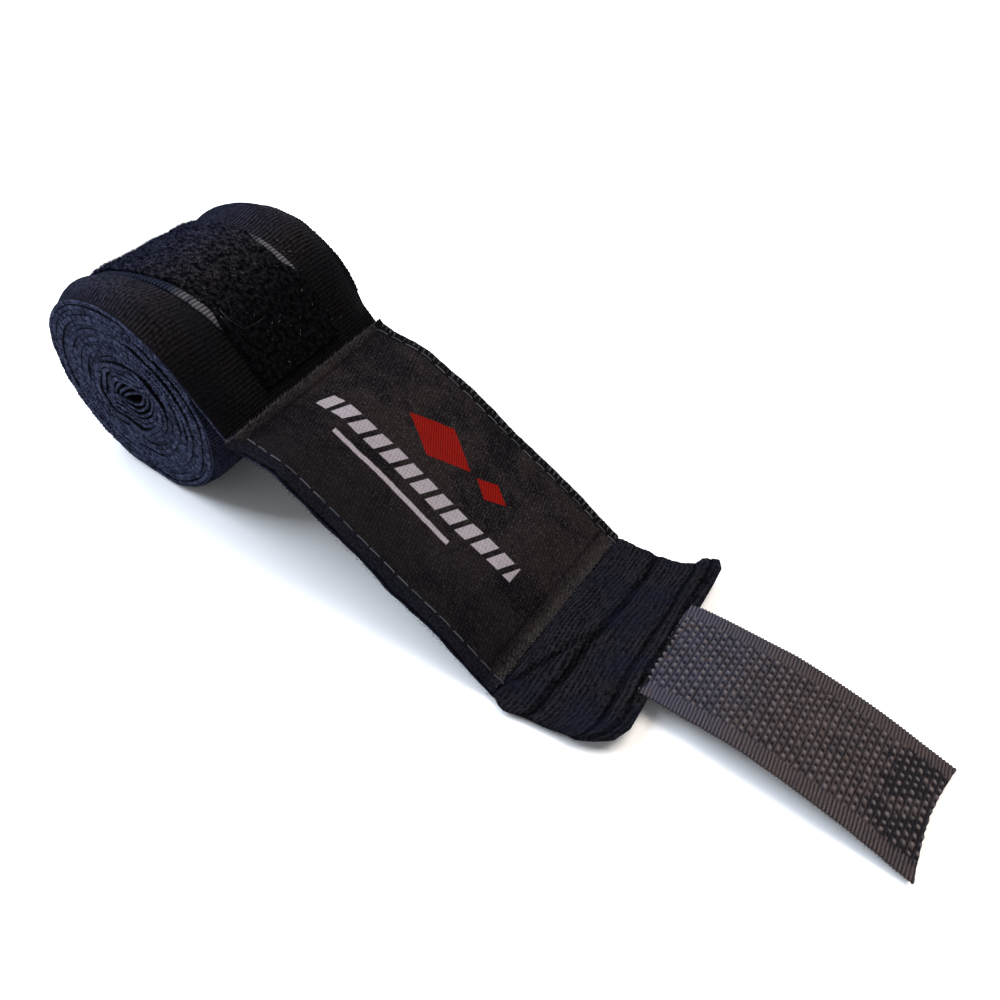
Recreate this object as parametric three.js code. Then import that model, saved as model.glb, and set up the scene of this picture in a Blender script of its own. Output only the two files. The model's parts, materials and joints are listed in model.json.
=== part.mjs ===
// Boxing hand wrap, rolled up for storage with its closing end drawn out along +X.
// An elastic woven band is wound into a flattened roll that lies on its side. Its outer end carries a
// woven label, a gathered hem and a narrow hook tab. The loop patch that the tab closes on runs over
// the roll's outer turn. Units are millimetres, +Z is up and the part stands on z = 0.
import * as THREE from "three";

// Band and roll
const BAND_WIDTH = 50;
const BAND_THICKNESS = 0.75;
const TURN_PITCH = 1.08;
const TURNS = 18.6;
const STEPS_PER_TURN = 24;
const ROLL_X = -75.24;
const ROLL_CENTRE_Z = 25.7;
const ROLL_SEMI_MAJOR = 31;
const ROLL_SEMI_MINOR = 26;
const ROLL_TILT = THREE.MathUtils.degToRad(32);
const SLACK = 2.9;
const SLACK_FROM = THREE.MathUtils.degToRad(38);
const CREASE_ANGLE = THREE.MathUtils.degToRad(10);

// Loop patch on the outer turn
const PATCH_FROM = THREE.MathUtils.degToRad(14);
const PATCH_TO = THREE.MathUtils.degToRad(166);
const PATCH_STEPS = 20;
const PATCH_WEB_WIDTH = 27;
const PATCH_WEB_THICKNESS = 0.6;
const PATCH_PILE_WIDTH = 22;
const PATCH_PILE_THICKNESS = 1.1;
const PATCH_STITCH_Y = 12.4;

// Closing end: links from the crease outwards. A slope is the angle above the horizontal at rest.
const CREASE_X = 33;
const CREASE_Z = 30.6;
const LABEL_LINKS = 5;
const LABEL_LINK_LENGTH = 15.6;
const LABEL_SLOPES = [-3, -27, -29, -24, -32];
const LABEL_WIDTH = 49.2;
const LABEL_THICKNESS = 0.5;
const LABEL_STITCH_Y = 21.8;
const CREASE_MARGIN = 1.0;
const VALLEY_MARGIN = 0.8;
const HEM_FLAT_LENGTH = 12.7;
const HEM_FLAT_SLOPE = 0;
const HEM_END_LENGTH = 13;
const HEM_END_SLOPE = 14;
const HEM_LAYERS_THICKNESS = 2.2;
const HEM_ROLL_SEMI_X = 3.1;
const HEM_ROLL_SEMI_Z = 2.3;
const HEM_ROLL_SIDES = 14;
const TAB_LINKS = [
  { name: "root", length: 17.5, slope: 5 },
  { name: "fold", length: 2.5, slope: 0 },
  { name: "middle", length: 16.5, slope: -6 },
  { name: "end", length: 16.5, slope: -12 },
];
const TAB_WIDTH = 25;
const TAB_WEB_THICKNESS = 0.9;
const HOOK_WIDTH = 20;
const HOOK_HEIGHT = 0.8;

// Thumb loop, folded flat in the roll's core
const LOOP_WIDTH = 12;
const LOOP_THICKNESS = 0.8;
const LOOP_LAYER_SPACING = 1.1;
const LOOP_RUN_SPACING = 2.5;
const LOOP_RUN_HALF = 5.8;
const BEND_STEPS = 5;

// Thread and assembly gaps
const THREAD_WIDTH = 0.6;
const THREAD_HEIGHT = 0.35;
const LAYER_GAP = 0.2;
const LINK_GAP = 0.3;

const MATERIALS = {
  band: { color: 0x17171c, roughness: 0.95 },
  knit: { color: 0x171a26, roughness: 0.95 },
  label: { color: 0x1d1c1f, roughness: 0.6 },
  thread: { color: 0x3c4250, roughness: 0.8 },
  loopWeb: { color: 0x2a2c36, roughness: 0.9 },
  loopPile: { color: 0x15161c, roughness: 1.0 },
  hookWeb: { color: 0x4b4a4d, roughness: 0.7 },
  hooks: { color: 0x3f3e42, roughness: 0.5 },
};

function material(kind) {
  return new THREE.MeshStandardMaterial({ ...MATERIALS[kind], metalness: 0 });
}

// The outline of a ribbon of the given thickness centred on a path in the XZ plane.
function ribbonOutline(path, thickness) {
  const left = [];
  const right = [];
  path.forEach((point, i) => {
    const before = path[Math.max(i - 1, 0)];
    const after = path[Math.min(i + 1, path.length - 1)];
    const inward = point.clone().sub(before).normalize();
    const outward = after.clone().sub(point).normalize();
    const direction = inward.add(outward).normalize();
    const normal = new THREE.Vector2(-direction.y, direction.x);
    const edge = i > 0 ? point.clone().sub(before) : after.clone().sub(point);
    const edgeNormal = new THREE.Vector2(-edge.y, edge.x).normalize();
    const half = thickness / 2 / Math.max(normal.dot(edgeNormal), 0.5);
    left.push(point.clone().addScaledVector(normal, half));
    right.push(point.clone().addScaledVector(normal, -half));
  });
  return left.concat(right.reverse());
}

// Extrudes an XZ outline across the band's width, from y = low to y = high.
function acrossBand(name, kind, outline, low, high) {
  const shape = new THREE.Shape(outline);
  const geometry = new THREE.ExtrudeGeometry(shape, { depth: high - low, bevelEnabled: false });
  geometry.rotateX(Math.PI / 2);
  geometry.translate(0, high, 0);
  const mesh = new THREE.Mesh(geometry, material(kind));
  mesh.name = name;
  return mesh;
}

function ribbon(name, kind, path, thickness, low, high) {
  return acrossBand(name, kind, ribbonOutline(path, thickness), low, high);
}

// A flat slab in a link's own frame, from x = start to x = end and z = bottom to z = top.
function slab(name, kind, [start, end], [bottom, top], [low, high]) {
  const corners = [
    new THREE.Vector2(start, bottom),
    new THREE.Vector2(end, bottom),
    new THREE.Vector2(end, top),
    new THREE.Vector2(start, top),
  ];
  return acrossBand(name, kind, corners, low, high);
}

function centred(width) {
  return [-width / 2, width / 2];
}

// A point of the roll at an unwrapped angle, a given depth below its outer face. The angle starts at the
// crease and grows over the top and inwards. The last stretch before the crease hangs slack, and the
// roll's weight flattens each turn where it rests.
function rollPoint(angle, depth) {
  const along = (ROLL_SEMI_MAJOR - depth) * Math.cos(angle - ROLL_TILT);
  const across = (ROLL_SEMI_MINOR - depth) * Math.sin(angle - ROLL_TILT);
  const x = along * Math.cos(ROLL_TILT) - across * Math.sin(ROLL_TILT);
  const z = along * Math.sin(ROLL_TILT) + across * Math.cos(ROLL_TILT) + ROLL_CENTRE_Z;
  const share = Math.max(0, (SLACK_FROM - angle) / (SLACK_FROM - CREASE_ANGLE));
  const turn = Math.floor((angle - Math.PI / 2) / (2 * Math.PI));
  const flat = turn * TURN_PITCH + BAND_THICKNESS / 2;
  return new THREE.Vector2(x + SLACK * share * share, Math.max(z, flat));
}

// Inner turns lie TURN_PITCH deeper each time round.
function coilPath() {
  const points = [];
  const steps = Math.round(TURNS * STEPS_PER_TURN);
  for (let i = 0; i <= steps; i += 1) {
    const turned = i / STEPS_PER_TURN;
    const depth = turned * TURN_PITCH + BAND_THICKNESS / 2;
    points.push(rollPoint(CREASE_ANGLE + turned * 2 * Math.PI, depth));
  }
  return points;
}

// The patch lies on the outer turn, which sinks by a part of the pitch along its way.
function patchPath(height) {
  const points = [];
  for (let i = 0; i <= PATCH_STEPS; i += 1) {
    const angle = PATCH_FROM + ((PATCH_TO - PATCH_FROM) * i) / PATCH_STEPS;
    const sunk = ((angle - CREASE_ANGLE) / (2 * Math.PI)) * TURN_PITCH;
    points.push(rollPoint(angle, sunk - height));
  }
  return points;
}

// The thumb loop's folds: three runs joined by round bends, offset sideways by one layer.
function foldPath(offset) {
  const points = [];
  const bendRadius = LOOP_RUN_SPACING / 2;
  for (const [centreX, centreZ, from, turn] of [
    [LOOP_RUN_HALF, -bendRadius, -90, 180],
    [-LOOP_RUN_HALF, bendRadius, -90, -180],
  ]) {
    const radius = bendRadius - Math.sign(turn) * offset;
    for (let i = 0; i <= BEND_STEPS; i += 1) {
      const angle = THREE.MathUtils.degToRad(from + (turn * i) / BEND_STEPS);
      const x = centreX + radius * Math.cos(angle);
      points.push(new THREE.Vector2(x, centreZ + radius * Math.sin(angle)));
    }
  }
  points.unshift(new THREE.Vector2(-LOOP_RUN_HALF, -LOOP_RUN_SPACING + offset));
  points.push(new THREE.Vector2(LOOP_RUN_HALF, LOOP_RUN_SPACING + offset));
  return points;
}

function addRoll(parent) {
  const band = centred(BAND_WIDTH);
  parent.add(ribbon("band_roll", "band", coilPath(), BAND_THICKNESS, ...band));

  const webHeight = LAYER_GAP + PATCH_WEB_THICKNESS / 2;
  const pileHeight = LAYER_GAP * 2 + PATCH_WEB_THICKNESS + PATCH_PILE_THICKNESS / 2;
  const threadHeight = LAYER_GAP * 2 + PATCH_WEB_THICKNESS + THREAD_HEIGHT / 2;
  const web = centred(PATCH_WEB_WIDTH);
  const pile = centred(PATCH_PILE_WIDTH);
  parent.add(ribbon("loop_patch_web", "loopWeb", patchPath(webHeight), PATCH_WEB_THICKNESS, ...web));
  parent.add(ribbon("loop_patch_pile", "loopPile", patchPath(pileHeight), PATCH_PILE_THICKNESS, ...pile));
  for (const [side, y] of [
    ["near", -PATCH_STITCH_Y],
    ["far", PATCH_STITCH_Y],
  ]) {
    const width = [y - THREAD_WIDTH / 2, y + THREAD_WIDTH / 2];
    const name = "loop_patch_stitch_" + side;
    parent.add(ribbon(name, "thread", patchPath(threadHeight), THREAD_HEIGHT, ...width));
  }
}

// The webbing doubles back at its tip, so its path goes out along one layer and home along the other.
function addThumbLoop(parent) {
  const core = new THREE.Group();
  core.position.set(0, 0, ROLL_CENTRE_Z);
  core.rotation.y = -ROLL_TILT;
  const half = LOOP_LAYER_SPACING / 2;
  const path = foldPath(half).concat(foldPath(-half).reverse());
  core.add(ribbon("thumb_loop", "band", path, LOOP_THICKNESS, ...centred(LOOP_WIDTH)));
  const seam = -LOOP_RUN_SPACING - LOOP_LAYER_SPACING / 2 - LOOP_THICKNESS / 2 - LAYER_GAP;
  const start = -LOOP_RUN_HALF + THREAD_WIDTH;
  const length = [start, start + 2 * THREAD_WIDTH];
  core.add(slab("thumb_loop_bartack", "thread", length, [seam - THREAD_HEIGHT, seam], centred(LOOP_WIDTH)));
  parent.add(core);
}

// Adds a link's frame: it turns about its near end, on the closing end's inner face.
function addLink(parent, offset, slope) {
  const link = new THREE.Group();
  link.position.set(offset, 0, 0);
  link.rotation.y = -THREE.MathUtils.degToRad(slope);
  parent.add(link);
  return link;
}

function addLabelLink(link, number, margins) {
  const along = [margins[0], LABEL_LINK_LENGTH - margins[1]];
  const labelBottom = BAND_THICKNESS + LAYER_GAP;
  const labelTop = labelBottom + LABEL_THICKNESS;
  const thread = [labelTop + LAYER_GAP, labelTop + LAYER_GAP + THREAD_HEIGHT];
  link.add(slab("band_tail_" + number, "band", along, [0, BAND_THICKNESS], centred(BAND_WIDTH)));
  link.add(slab("label_panel_" + number, "label", along, [labelBottom, labelTop], centred(LABEL_WIDTH)));
  for (const [side, y] of [
    ["near", -LABEL_STITCH_Y],
    ["far", LABEL_STITCH_Y],
  ]) {
    const width = [y - THREAD_WIDTH / 2, y + THREAD_WIDTH / 2];
    link.add(slab("label_stitch_" + side + "_" + number, "thread", along, thread, width));
  }
  const between = centred(2 * (LABEL_STITCH_Y - THREAD_WIDTH));
  if (number === 1) {
    const row = [margins[0] + THREAD_WIDTH, margins[0] + 2 * THREAD_WIDTH];
    link.add(slab("label_stitch_start", "thread", row, thread, between));
  }
  if (number === LABEL_LINKS) {
    const row = [along[1] - 2 * THREAD_WIDTH, along[1] - THREAD_WIDTH];
    link.add(slab("label_stitch_end", "thread", row, thread, between));
  }
}

// The band's own end, doubled over and gathered, then rolled into a thick hem that holds the tab.
function addHem(flat, end) {
  const edge = LINK_GAP / 2;
  const layers = [0, HEM_LAYERS_THICKNESS];
  const rollStart = HEM_END_LENGTH - edge - 2 * HEM_ROLL_SEMI_X;
  const flatRun = [VALLEY_MARGIN, HEM_FLAT_LENGTH - VALLEY_MARGIN];
  const endRun = [VALLEY_MARGIN, rollStart - LINK_GAP];
  flat.add(slab("band_end_flat", "knit", flatRun, layers, centred(BAND_WIDTH)));
  end.add(slab("band_end_gathered", "knit", endRun, layers, centred(BAND_WIDTH)));
  const outline = [];
  for (let i = 0; i < HEM_ROLL_SIDES; i += 1) {
    const angle = ((i + 0.5) * 2 * Math.PI) / HEM_ROLL_SIDES;
    const x = rollStart + HEM_ROLL_SEMI_X * (1 + Math.cos(angle));
    outline.push(new THREE.Vector2(x, HEM_ROLL_SEMI_Z * Math.sin(angle)));
  }
  end.add(acrossBand("end_hem", "knit", outline, ...centred(BAND_WIDTH)));
  const row = [endRun[1] - 2 * THREAD_WIDTH, endRun[1] - THREAD_WIDTH];
  const thread = [HEM_LAYERS_THICKNESS + LAYER_GAP, HEM_LAYERS_THICKNESS + LAYER_GAP + THREAD_HEIGHT];
  end.add(slab("hem_stitch", "thread", row, thread, centred(BAND_WIDTH - 2)));
}

function addTabLink(link, { name, length }) {
  const along = [LINK_GAP / 2, length - LINK_GAP / 2];
  const webBottom = HOOK_HEIGHT + LAYER_GAP;
  link.add(slab("hook_tab_hooks_" + name, "hooks", along, [0, HOOK_HEIGHT], centred(HOOK_WIDTH)));
  const web = [webBottom, webBottom + TAB_WEB_THICKNESS];
  link.add(slab("hook_tab_web_" + name, "hookWeb", along, web, centred(TAB_WIDTH)));
}

// Each link hangs on the one before, so its slope is turned relative to that one.
function addClosingEnd(parent) {
  const lengths = [
    ...Array(LABEL_LINKS).fill(LABEL_LINK_LENGTH),
    HEM_FLAT_LENGTH,
    HEM_END_LENGTH,
    ...TAB_LINKS.map(({ length }) => length),
  ];
  const slopes = [...LABEL_SLOPES, HEM_FLAT_SLOPE, HEM_END_SLOPE, ...TAB_LINKS.map(({ slope }) => slope)];
  const crease = new THREE.Group();
  crease.position.set(CREASE_X, 0, CREASE_Z);
  parent.add(crease);

  let link = crease;
  const links = slopes.map((slope, i) => {
    const offset = i === 0 ? 0 : lengths[i - 1];
    const before = i === 0 ? 0 : slopes[i - 1];
    link = addLink(link, offset, slope - before);
    return link;
  });
  for (let i = 0; i < LABEL_LINKS; i += 1) {
    const start = i === 0 ? CREASE_MARGIN : LINK_GAP / 2;
    const end = i === LABEL_LINKS - 1 ? VALLEY_MARGIN : LINK_GAP / 2;
    const valley = i > 0 && slopes[i] > slopes[i - 1] ? LINK_GAP / 2 : 0;
    const nextValley = i < LABEL_LINKS - 1 && slopes[i + 1] > slopes[i] ? LINK_GAP / 2 : 0;
    addLabelLink(links[i], i + 1, [start + valley, end + nextValley]);
  }
  addHem(links[LABEL_LINKS], links[LABEL_LINKS + 1]);
  TAB_LINKS.forEach((tab, i) => addTabLink(links[LABEL_LINKS + 2 + i], tab));
}

const wrap = new THREE.Group();
wrap.position.set(ROLL_X, 0, 0);
addRoll(wrap);
addThumbLoop(wrap);
addClosingEnd(wrap);

const part = new THREE.Group();
part.add(wrap);

export default part;
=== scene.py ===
import json
import math

import bpy
import numpy as np
from mathutils import Matrix, Vector


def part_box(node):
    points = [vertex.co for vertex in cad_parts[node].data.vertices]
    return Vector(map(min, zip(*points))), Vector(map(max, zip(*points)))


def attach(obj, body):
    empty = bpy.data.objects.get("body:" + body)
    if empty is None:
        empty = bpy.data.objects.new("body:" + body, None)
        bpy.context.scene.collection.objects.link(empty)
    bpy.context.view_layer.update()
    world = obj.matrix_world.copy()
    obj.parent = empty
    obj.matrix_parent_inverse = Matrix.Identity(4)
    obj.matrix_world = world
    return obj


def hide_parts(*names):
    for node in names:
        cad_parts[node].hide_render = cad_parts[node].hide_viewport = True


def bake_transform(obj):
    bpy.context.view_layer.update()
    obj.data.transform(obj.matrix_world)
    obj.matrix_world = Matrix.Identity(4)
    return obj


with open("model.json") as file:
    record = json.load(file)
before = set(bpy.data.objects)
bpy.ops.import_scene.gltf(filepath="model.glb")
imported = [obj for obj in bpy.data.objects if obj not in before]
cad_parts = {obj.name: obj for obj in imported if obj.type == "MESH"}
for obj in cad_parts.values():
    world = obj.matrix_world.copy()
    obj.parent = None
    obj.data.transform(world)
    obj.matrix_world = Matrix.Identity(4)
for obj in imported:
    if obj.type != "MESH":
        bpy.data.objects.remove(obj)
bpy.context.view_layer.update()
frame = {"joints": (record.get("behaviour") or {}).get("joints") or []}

MM = 0.001
RNG = np.random.default_rng(52)

# Sizes in millimetres, angles and the count of turns, the same as the CAD part's
BAND_WIDTH = 50.0
HALF_BAND = BAND_WIDTH / 2
BAND = 0.75
PITCH = 1.08
TURNS = 18.6
SEMI_MAJOR = 31.0
SEMI_MINOR = 26.0
TILT = math.radians(32)
CREASE_ANGLE = math.radians(10)
SLACK = 2.9
SLACK_FROM = math.radians(38)
CREASE_TO_CENTRE = (-33.0, -4.9)
TAB_THICKNESS = 1.9
TAB_HALF = 12.5
LABEL_LENGTH = 78.0
OUTER_FROM = math.radians(24)
OUTER_TO = math.radians(384)
PATCH_FROM = math.radians(14)
PATCH_TO = math.radians(166)

# The same for what only the visual has, where u along the strip is in millimetres from the crease
LAST_TURN = 21.4
RIB = 0.95
WEB_RIB = 0.82
TAB_RIB = 0.7
LABEL_HALF = 24.6
LABEL_LOW = 0.6
LABEL_HIGH = 77.3
HEM_LOW = 76.0
HEM_HIGH = 103.6
HEM_LENGTH = 28.0
TAB_CUT = 157.2
HEM_START = -1.9
LOOP_WIDTH = 12.0
HOOKS_FROM = 104.6
SELVEDGE = 0.34
CORE_LOW = 8.0
CORE_HIGH = 24.6
# Where the wound band's u starts on the map, past all that the drawn-out end uses
WOUND_FROM = 200.0


def joint_point(name):
    """A joint's place in the XZ plane, in mm."""
    joint = next(joint for joint in frame["joints"] if joint["name"] == name)
    return joint["pos_m"][0] / MM, joint["pos_m"][2] / MM


CREASE = joint_point("tail_wrap")
CENTRE_X = CREASE[0] + CREASE_TO_CENTRE[0]
CENTRE_Z = CREASE[1] + CREASE_TO_CENTRE[1]


# ------------ noise and curves
def lattice(x, y, seed):
    """Smooth noise from -1 to 1 with one bump to a unit cell."""
    x, y = np.broadcast_arrays(np.asarray(x, float), np.asarray(y, float))
    column, row = np.floor(x).astype(np.int64), np.floor(y).astype(np.int64)
    across, along = x - column, y - row
    across = across * across * (3 - 2 * across)
    along = along * along * (3 - 2 * along)

    def corner(i, j):
        key = (i * 374761393 + j * 668265263 + seed * 1442695041) & 0x7FFFFFFF
        key = ((key ^ (key >> 13)) * 1274126177) & 0x7FFFFFFF
        return ((key ^ (key >> 16)) & 0xFFFF) / 32767.5 - 1

    low = corner(column, row) * (1 - across) + corner(column + 1, row) * across
    high = corner(column, row + 1) * (1 - across) + corner(column + 1, row + 1) * across
    return low * (1 - along) + high * along


def cloudy(x, y, seed, octaves=3):
    return sum(lattice(x * 2**k, y * 2**k, seed + 17 * k) / 2**k for k in range(octaves)) / 1.6


def bump(x, centre, width):
    return np.exp(-(((x - centre) / width) ** 2))


def ease(x, low, high):
    t = np.clip((x - low) / (high - low), 0, 1)
    return t * t * (3 - 2 * t)


def ripple(x, pitch=1.0):
    return np.sin(2 * math.pi * x / pitch)


def unit(vectors):
    return vectors / (np.linalg.norm(vectors, axis=-1, keepdims=True) + 1e-9)


def stacked(*parts):
    """Points or map places from their coordinates, which may be of different shapes."""
    return np.stack(np.broadcast_arrays(*parts), -1)


# ------------ the roll and the strip's path
def soft_floor(z, level, radius):
    """z, but never below level, with a soft turn into it."""
    over = (z - level) / radius
    return level + radius * np.where(over > 20, over, np.log1p(np.exp(np.minimum(over, 20))))


def tilted(along, across):
    """X and Z of a place given along the roll's long axis and across it."""
    x = along * math.cos(TILT) - across * math.sin(TILT)
    return x, along * math.sin(TILT) + across * math.cos(TILT)


def roll_point(angle, depth):
    """The roll's spiral at an unwrapped angle from +X over the top and inwards, in mm."""
    along = (SEMI_MAJOR - depth) * np.cos(angle - TILT)
    x, z = tilted(along, (SEMI_MINOR - depth) * np.sin(angle - TILT))
    share = np.clip((SLACK_FROM - angle) / (SLACK_FROM - CREASE_ANGLE), 0, None)
    return x + SLACK * share**2 + CENTRE_X, z + CENTRE_Z


def turn_of(angle):
    return (angle - CREASE_ANGLE) / (2 * math.pi)


def spiral(angle):
    """Middle of the band's thickness along the coil, and the outward normal there."""
    def middle(a):
        turn = np.floor((a - math.pi / 2) / (2 * math.pi))
        x, z = roll_point(a, turn_of(a) * PITCH + BAND / 2)
        return x, soft_floor(z, np.maximum(turn, 0) * PITCH + BAND / 2, 0.25)
    x, z = middle(angle)
    x0, z0 = middle(angle - 0.01)
    x1, z1 = middle(angle + 0.01)
    dx, dz = x1 - x0, z1 - z0
    length = np.hypot(dx, dz)
    return x, z, dz / length, -dx / length


def run_along(x, z):
    """Distance from the first point of a line to each of its points."""
    return np.concatenate([[0], np.cumsum(np.hypot(np.diff(x), np.diff(z)))])


def strip_path():
    """The strip's inner face: distance from the crease, x, z, normal's x and z, and angle on the roll."""
    angle = np.linspace(OUTER_TO, CREASE_ANGLE, 1600)
    x, z, nx, nz = spiral(angle)
    roll_x, roll_z = x - nx * BAND / 2, z - nz * BAND / 2
    hinges = [CREASE]
    names = ["label_bend_2", "label_bend_3", "label_bend_4", "label_bend_5", "hem_bend", "hem_end_bend"]
    names += ["tab_root_bend", "tab_fold_bend", "tab_peel", "tab_end_bend"]
    for name in names:
        px, pz = joint_point(name)
        hinges.append((px, pz - (TAB_THICKNESS if name == "tab_peel" else 0)))
    low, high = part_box("hook_tab_hooks_end")
    hinges.append((high.x / MM - 0.17, low.z / MM))
    ahead = (hinges[-1][0] - hinges[-2][0], hinges[-1][1] - hinges[-2][1])
    hinges.append((hinges[-1][0] + ahead[0] / 4, hinges[-1][1] + ahead[1] / 4))
    hinges = np.array(hinges)
    px = np.concatenate([roll_x, hinges[:, 0]])
    pz = np.concatenate([roll_z, hinges[:, 1]])
    run = run_along(px, pz)
    run -= run[len(roll_x)]
    s = np.arange(run[0], run[-1], 0.1)
    xs, zs = np.interp(s, run, px), np.interp(s, run, pz)
    kernel = np.exp(-0.5 * (np.arange(-60, 61) / 14.0) ** 2)
    kernel /= kernel.sum()
    smooth_x = np.convolve(np.pad(xs, 60, mode="edge"), kernel, "valid")
    smooth_z = np.convolve(np.pad(zs, 60, mode="edge"), kernel, "valid")
    share = ease(s, -9, -5) * (1 - ease(s, run[-1] - 12, run[-1] - 8))
    xs, zs = xs + (smooth_x - xs) * share, zs + (smooth_z - zs) * share
    dx, dz = np.gradient(xs, s), np.gradient(zs, s)
    length = np.hypot(dx, dz)
    return s, xs, zs, -dz / length, dx / length, np.interp(s, run[: len(angle)], angle)


PATH = strip_path()


def on_path(s, *columns):
    """The path's columns, 1 to 5 as strip_path lists them, at distances s."""
    found = [np.interp(s, PATH[0], PATH[column]) for column in columns]
    return found if len(found) > 1 else found[0]


def angle_to_run(angle):
    """Distance from the crease, negative on the roll, at an angle on the outer turn."""
    keep = PATH[0] <= 0
    return float(np.interp(angle, PATH[5][keep][::-1], PATH[0][keep][::-1]))


OUTER_START, OUTER_END = angle_to_run(OUTER_TO), angle_to_run(OUTER_FROM)
PATCH_START, PATCH_END = angle_to_run(PATCH_TO), angle_to_run(PATCH_FROM)
WORN_NEAR = (angle_to_run(math.radians(63)), angle_to_run(math.radians(46)))
WORN_FAR = (angle_to_run(math.radians(70)), angle_to_run(math.radians(47)))
TOP_OF_ROLL = angle_to_run(math.radians(100))


def at(s, y, height):
    """A point in mm on the strip: s along it, y across it and height above its inner face."""
    s, y, height = np.broadcast_arrays(*(np.asarray(k, float) for k in (s, y, height)))
    x, z, nx, nz = on_path(s, 1, 2, 3, 4)
    skew = -0.066 * y * np.exp(-((s / 16) ** 2))
    lie = 0.35 * cloudy(s / 40, y / 60, 5, 2) * ease(np.abs(s), 6, 16) * ease(156 - s, 0, 20)
    lie = np.where(s < 0, lie, lie * (1 - ease(s, 70, 90)))
    return np.stack([x + height * nx + skew + lie * nx, y, z + height * nz + lie * nz], -1)


def middle_of(s):
    """How far the strip's middle line strays sideways."""
    return np.interp(s, [-200, 0, 40, 78, 92, 104, 130, 157], [0, 0, -0.5, -1.6, -0.6, 1.5, 0.6, -1.0])


def strip_normal(s):
    nx, nz = on_path(s, 3, 4)
    return stacked(nx, 0.0, nz)


# ------------ meshes
def mesh_object(name, points, quads, uv, material, shade=None):
    """A mesh of quads from points in mm, with their places on the millimetre map and their shades."""
    mesh = bpy.data.meshes.new(name)
    mesh.vertices.add(len(points))
    mesh.vertices.foreach_set("co", (np.asarray(points, float) * MM).astype(np.float32).ravel())
    mesh.loops.add(quads.size)
    mesh.loops.foreach_set("vertex_index", quads.ravel().astype(np.int32))
    mesh.polygons.add(len(quads))
    mesh.polygons.foreach_set("loop_start", np.arange(0, quads.size, 4, dtype=np.int32))
    mesh.update(calc_edges=True)
    mesh.polygons.foreach_set("use_smooth", np.ones(len(quads), bool))
    layer = mesh.uv_layers.new(name="mm")
    layer.data.foreach_set("uv", np.asarray(uv, np.float32)[quads.ravel()].ravel())
    if shade is not None:
        attribute = mesh.attributes.new("shade", "FLOAT", "POINT")
        attribute.data.foreach_set("value", np.asarray(shade, np.float32))
    mesh.materials.append(MATERIALS[material])
    made = bpy.data.objects.new(name, mesh)
    bpy.context.scene.collection.objects.link(made)
    return made


def grid_quads(rows, columns, first=0):
    index = first + np.arange(rows * columns).reshape(rows, columns)
    corners = (index[:-1, :-1], index[1:, :-1], index[1:, 1:], index[:-1, 1:])
    return np.stack([c.ravel() for c in corners], -1)


def slab(name, top, bottom, uv, material, tones=None):
    """A closed thin solid between two grids of points, rows along the strip and columns across it.

    tones gives a tone from 0, deep, to 1, raised, for each point of the top and of the bottom.
    """
    rows, columns = top.shape[:2]
    count = rows * columns
    upper = np.arange(count).reshape(rows, columns)
    lower = upper + count
    faces = [grid_quads(rows, columns), grid_quads(rows, columns, count)[:, ::-1]]
    for a, b in (
        (upper[:, 0], lower[:, 0]),
        (upper[-1, :], lower[-1, :]),
        (upper[::-1, -1], lower[::-1, -1]),
        (upper[0, ::-1], lower[0, ::-1]),
    ):
        faces.append(np.stack([a[:-1], b[:-1], b[1:], a[1:]], -1))
    points = np.concatenate([top.reshape(-1, 3), bottom.reshape(-1, 3)])
    flat_uv = np.concatenate([uv.reshape(-1, 2)] * 2)
    shade = None if tones is None else np.concatenate([np.ravel(tone) for tone in tones])
    made = mesh_object(name, points, np.concatenate(faces), flat_uv, material, shade)
    ends = set()
    for side in (upper, lower):
        for row in (side[0], side[-1]):
            ends.update((min(a, b), max(a, b)) for a, b in zip(row[:-1].tolist(), row[1:].tolist()))
    pairs = np.zeros(len(made.data.edges) * 2, np.int32)
    made.data.edges.foreach_get("vertices", pairs)
    sharp = [(min(a, b), max(a, b)) in ends for a, b in pairs.reshape(-1, 2).tolist()]
    attribute = made.data.attributes.new("sharp_edge", "BOOLEAN", "EDGE")
    attribute.data.foreach_set("value", np.array(sharp, bool))
    return made


def steps(low, high, step):
    return np.linspace(low, high, max(2, int(round((high - low) / step)) + 1))


def across_steps(half, step, rim=0.5):
    """Places across a band, close together in the rounded rims."""
    rims = half - rim * (1 - np.cos(np.linspace(0, math.pi / 2, 5)))
    inner = steps(-(half - rim), half - rim, step)
    return np.concatenate([-rims[:-1], inner, rims[:-1][::-1]])


def rounding(y, half, rim=0.5):
    """1 over most of a width, falling on a quarter round to almost 0 at its edges."""
    over = np.clip((np.abs(y) - (half - rim)) / rim, 0, 1)
    return np.sqrt(np.clip(1 - over**2, 0, 1)) * 0.92 + 0.08


def random_side(along):
    """Unit vectors square to the given ones, turned at random."""
    return unit(np.cross(along, RNG.normal(size=along.shape)))


def ribbons(name, base, along, side, lengths, width, bow, shade, uv=None, stations=4):
    """Many thin tapering fibres in one mesh, each from its base along a unit vector, in mm."""
    t = np.linspace(0, 1, stations)
    middle = base[:, None] + along[:, None] * (lengths[:, None] * t)[..., None]
    middle = middle + bow[:, None] * (lengths[:, None] * t**2)[..., None]
    taper = np.broadcast_to(width, len(base))[:, None] * (1 - 0.75 * t)
    offset = side[:, None] * taper[..., None]
    points = np.stack([middle - offset, middle + offset], 2).reshape(-1, 3)
    first = (np.arange(len(base)) * stations * 2)[:, None] + np.arange(stations - 1) * 2
    quads = np.stack([first, first + 1, first + 3, first + 2], -1).reshape(-1, 4)
    uv = np.repeat(base[:, :2] if uv is None else uv, stations * 2, 0)
    return mesh_object(name, points, quads, uv, "fibre", np.repeat(shade, stations * 2))


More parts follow.
